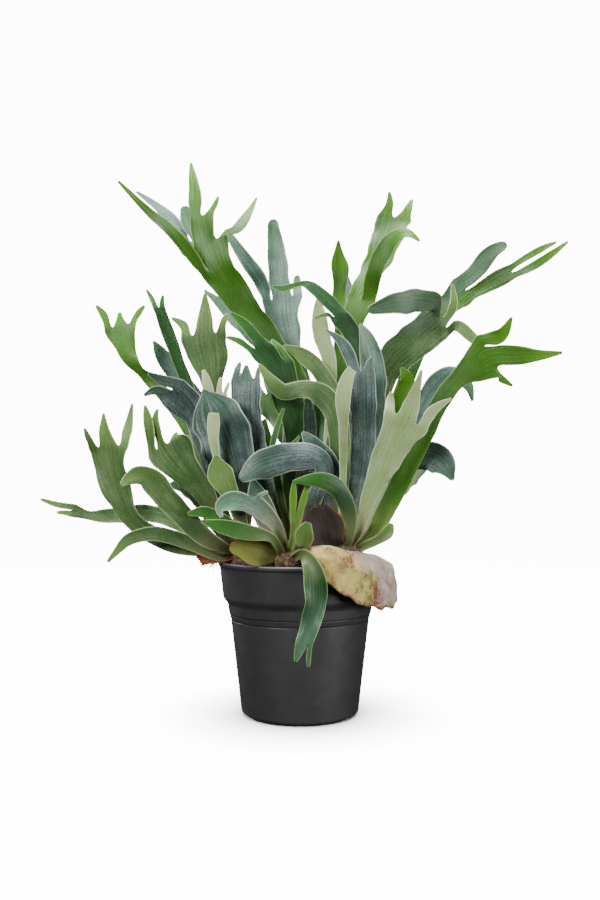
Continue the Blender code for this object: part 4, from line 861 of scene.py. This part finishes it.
# dead shield frond: papery, from yellow-brown to grey-pink, with rust stains and a dark brittle edge
shieldSkin, node, shader = newMaterial("papery dead shield frond", 0.78, 0.08)
place = node("place")
edge, around, down = (node("attribute", attribute_name=value) for value in ("edge", "strip", "along"))
cloudy = node("noise", place, 1000 / 22, 4.0)
side = node("subtract", around, node("multiply", down, 0.8))
side = node("add", side, node("multiply", cloudy, 0.7))
shade = node("mix", node("ramp", side, 0.24, 0.42), colour("#bfa656"), colour("#b9a89c"))
shade = node("mix", patches(node, place, 30, 3.0, 0.5, 0.62, 0, 0.55), shade, colour("#9aa044"))
# rust stains gather along the bend
bend = node("ramp", node("absolute", node("subtract", side, 0.3)), 0.06, 0.3, 1, 0.3)
stain = patches(node, place, 11, 9.0, 0.43, 0.58)
shade = node("mix", node("multiply", node("multiply", stain, bend), 0.9), shade, colour("#6a3014"))
shade = node("mix", patches(node, place, 2.5, 6.0, 0.48, 0.68, 0, 0.35), shade, colour("#dccdae"))
burnt = node("add", edge, node("multiply", node("noise", place, 1000 / 6, 5.0), -6.0))
shade = node("mix", node("ramp", burnt, -2.4, 1.0, 0.95, 0), shade, colour("#5a2a14"))
paint(shader, shade)
netting = node("ramp", node("cells", place, 150.0), 0, 0.12)
bump(node, shader, [(cloudy, 2.5), (node("noise", place, 1000 / 8, 4.0), 1.2), (netting, 0.18),
                    (node("noise", place, 1000 / 1.5, 5.0), 0.2)])

shield = dict(bearings=(-84, -70, -56, -42, -28, -14), tops=(177, 178, 173, 170, 167, 161),
              feet=(152, 140, 124, 116, 113, 118), inner=78.2, outer=93, columns=72, rows=34,
              folds=((0, 0), (0.45, 0.02), (0.82, 0.13), (1, 0.46), (0.95, 1)),
              ragged=5.0, wrinkle=3.8, flare=7, thickness=0.8, breadth=105, length=60)
bm = bmesh.new()
layers = {each: bm.verts.layers.float.new(each) for each in leafValues}
bmesh.ops.create_grid(bm, x_segments=shield["columns"], y_segments=shield["rows"], size=0.5)
for vert in bm.verts:
    around, down = vert.co.x + 0.5, vert.co.y + 0.5
    edges = list(zip(shield["bearings"], shield["tops"], shield["feet"]))
    bearing, top, foot = between(edges, around * (len(edges) - 1))
    out, drop = between(shield["folds"], down * (len(shield["folds"]) - 1))
    foot += shield["ragged"] * (noise.fractal(Vector((around * 6, 3, 0)), 0.9, 2.3, 4)) * down
    bearing += 1.6 * noise.noise(Vector((down * 5, 8, 0))) * (2 * around - 1)
    radius = shield["inner"] + (shield["outer"] + shield["flare"] * around ** 2 - shield["inner"]) * out
    crease = noise.noise(Vector((around * 7, down * 3.5, 2)))
    crease += 0.5 * noise.noise(Vector((around * 17, down * 8, 5)))
    radius += shield["wrinkle"] * (crease + 0.35) * easeIn(down, 0.35, 0.7)
    angle = math.radians(bearing)
    vert.co = (radius * math.cos(angle), radius * math.sin(angle), top + (foot - top) * drop)
    vert[layers["strip"]], vert[layers["along"]] = around, down
    sideways = min(around, 1 - around) * shield["breadth"]
    vert[layers["edge"]] = min(sideways, (1 - down) * shield["length"], 5 + down * 200)
bmesh.ops.recalc_face_normals(bm, faces=bm.faces)
overRim = finishPiece("shield_skin", bm, [shieldSkin], ["shield_over_rim"])
wall = overRim.modifiers.new("papery wall", "SOLIDIFY")
wall.thickness = shield["thickness"] / 1000
wall.offset = 0
addSubsurf(overRim, 1)
print("rim shield")


# studio: white floor that curves up all round and glows, with a painted contact shadow around the pot; soft
# light from above, the left, the right and behind
paper, node, shader = newMaterial("white studio paper", 0.9)
shader.inputs["Base Color"].default_value = colour("#f4f4f4")
# painted contact shadow: the floor's glow is darkened where the pot and plant stand near the paper
paintedShadowMask = node("paintedShadowMask", 0.1)
paint(shader, node("power", paintedShadowMask, 3.5), "Emission Color")
shader.inputs["Emission Strength"].default_value = 13.0
studio = dict(radius=4, bend=0.8, height=6, segments=96)
line = [(0, 0), (0.5, 0), (1.5, 0), (studio["radius"], 0)]
line += [(studio["radius"] + studio["bend"] * math.sin(math.pi / 2 * step / 10),
          studio["bend"] * (1 - math.cos(math.pi / 2 * step / 10))) for step in range(1, 11)]
line += [(studio["radius"] + studio["bend"], studio["height"])]
bm = spun(line, studio["segments"])
if bm.faces[0].normal.z + bm.faces[1].normal.z < 0:
    bmesh.ops.reverse_faces(bm, faces=bm.faces)
mesh = meshFrom("studio_floor", bm)
mesh.materials.append(paper)
mesh.shade_smooth()
floor = addObject("studio_floor", mesh)
floor.visible_diffuse = False  # the paper glows for the camera and doesn't light the plant
floor.visible_glossy = False
floor.visible_shadow = False

lamps = {  # place, size and power in watts
    "overhead": dict(place=(-0.3, -0.2, 1.9), size=1.0, power=62),
    "front left": dict(place=(-1.1, -1.7, 0.9), size=0.7, power=46),
    "right": dict(place=(1.5, -1.0, 0.3), size=0.8, power=30),
    "behind": dict(place=(0.7, 1.5, 1.1), size=0.9, power=32),
    "behind left": dict(place=(-1.4, 1.1, 0.6), size=0.8, power=16),
}
for name, lamp in lamps.items():
    light = bpy.data.lights.new(name, "AREA")
    light.shape = "DISK"
    light.size = lamp["size"]
    light.energy = lamp["power"]
    aim(addObject(name, light), lamp["place"], (0, 0, 0.3))
world = bpy.data.worlds.new("soft surround")
world.use_nodes = True
world.node_tree.nodes["Background"].inputs["Color"].default_value = (1, 1, 1, 1)
world.node_tree.nodes["Background"].inputs["Strength"].default_value = 0.04
bpy.context.scene.world = world

view = dict(place=(0, -0.9, 0.230), target=(0, 0, 0.230), lens=34.5, sensorHeight=36, shift=0.046)
lens = bpy.data.cameras.new("front view")
lens.sensor_fit = "VERTICAL"
lens.sensor_height = view["sensorHeight"]
lens.lens = view["lens"]
lens.shift_y = view["shift"]
camera = addObject("front view", lens)
aim(camera, view["place"], view["target"])
bpy.context.scene.camera = camera
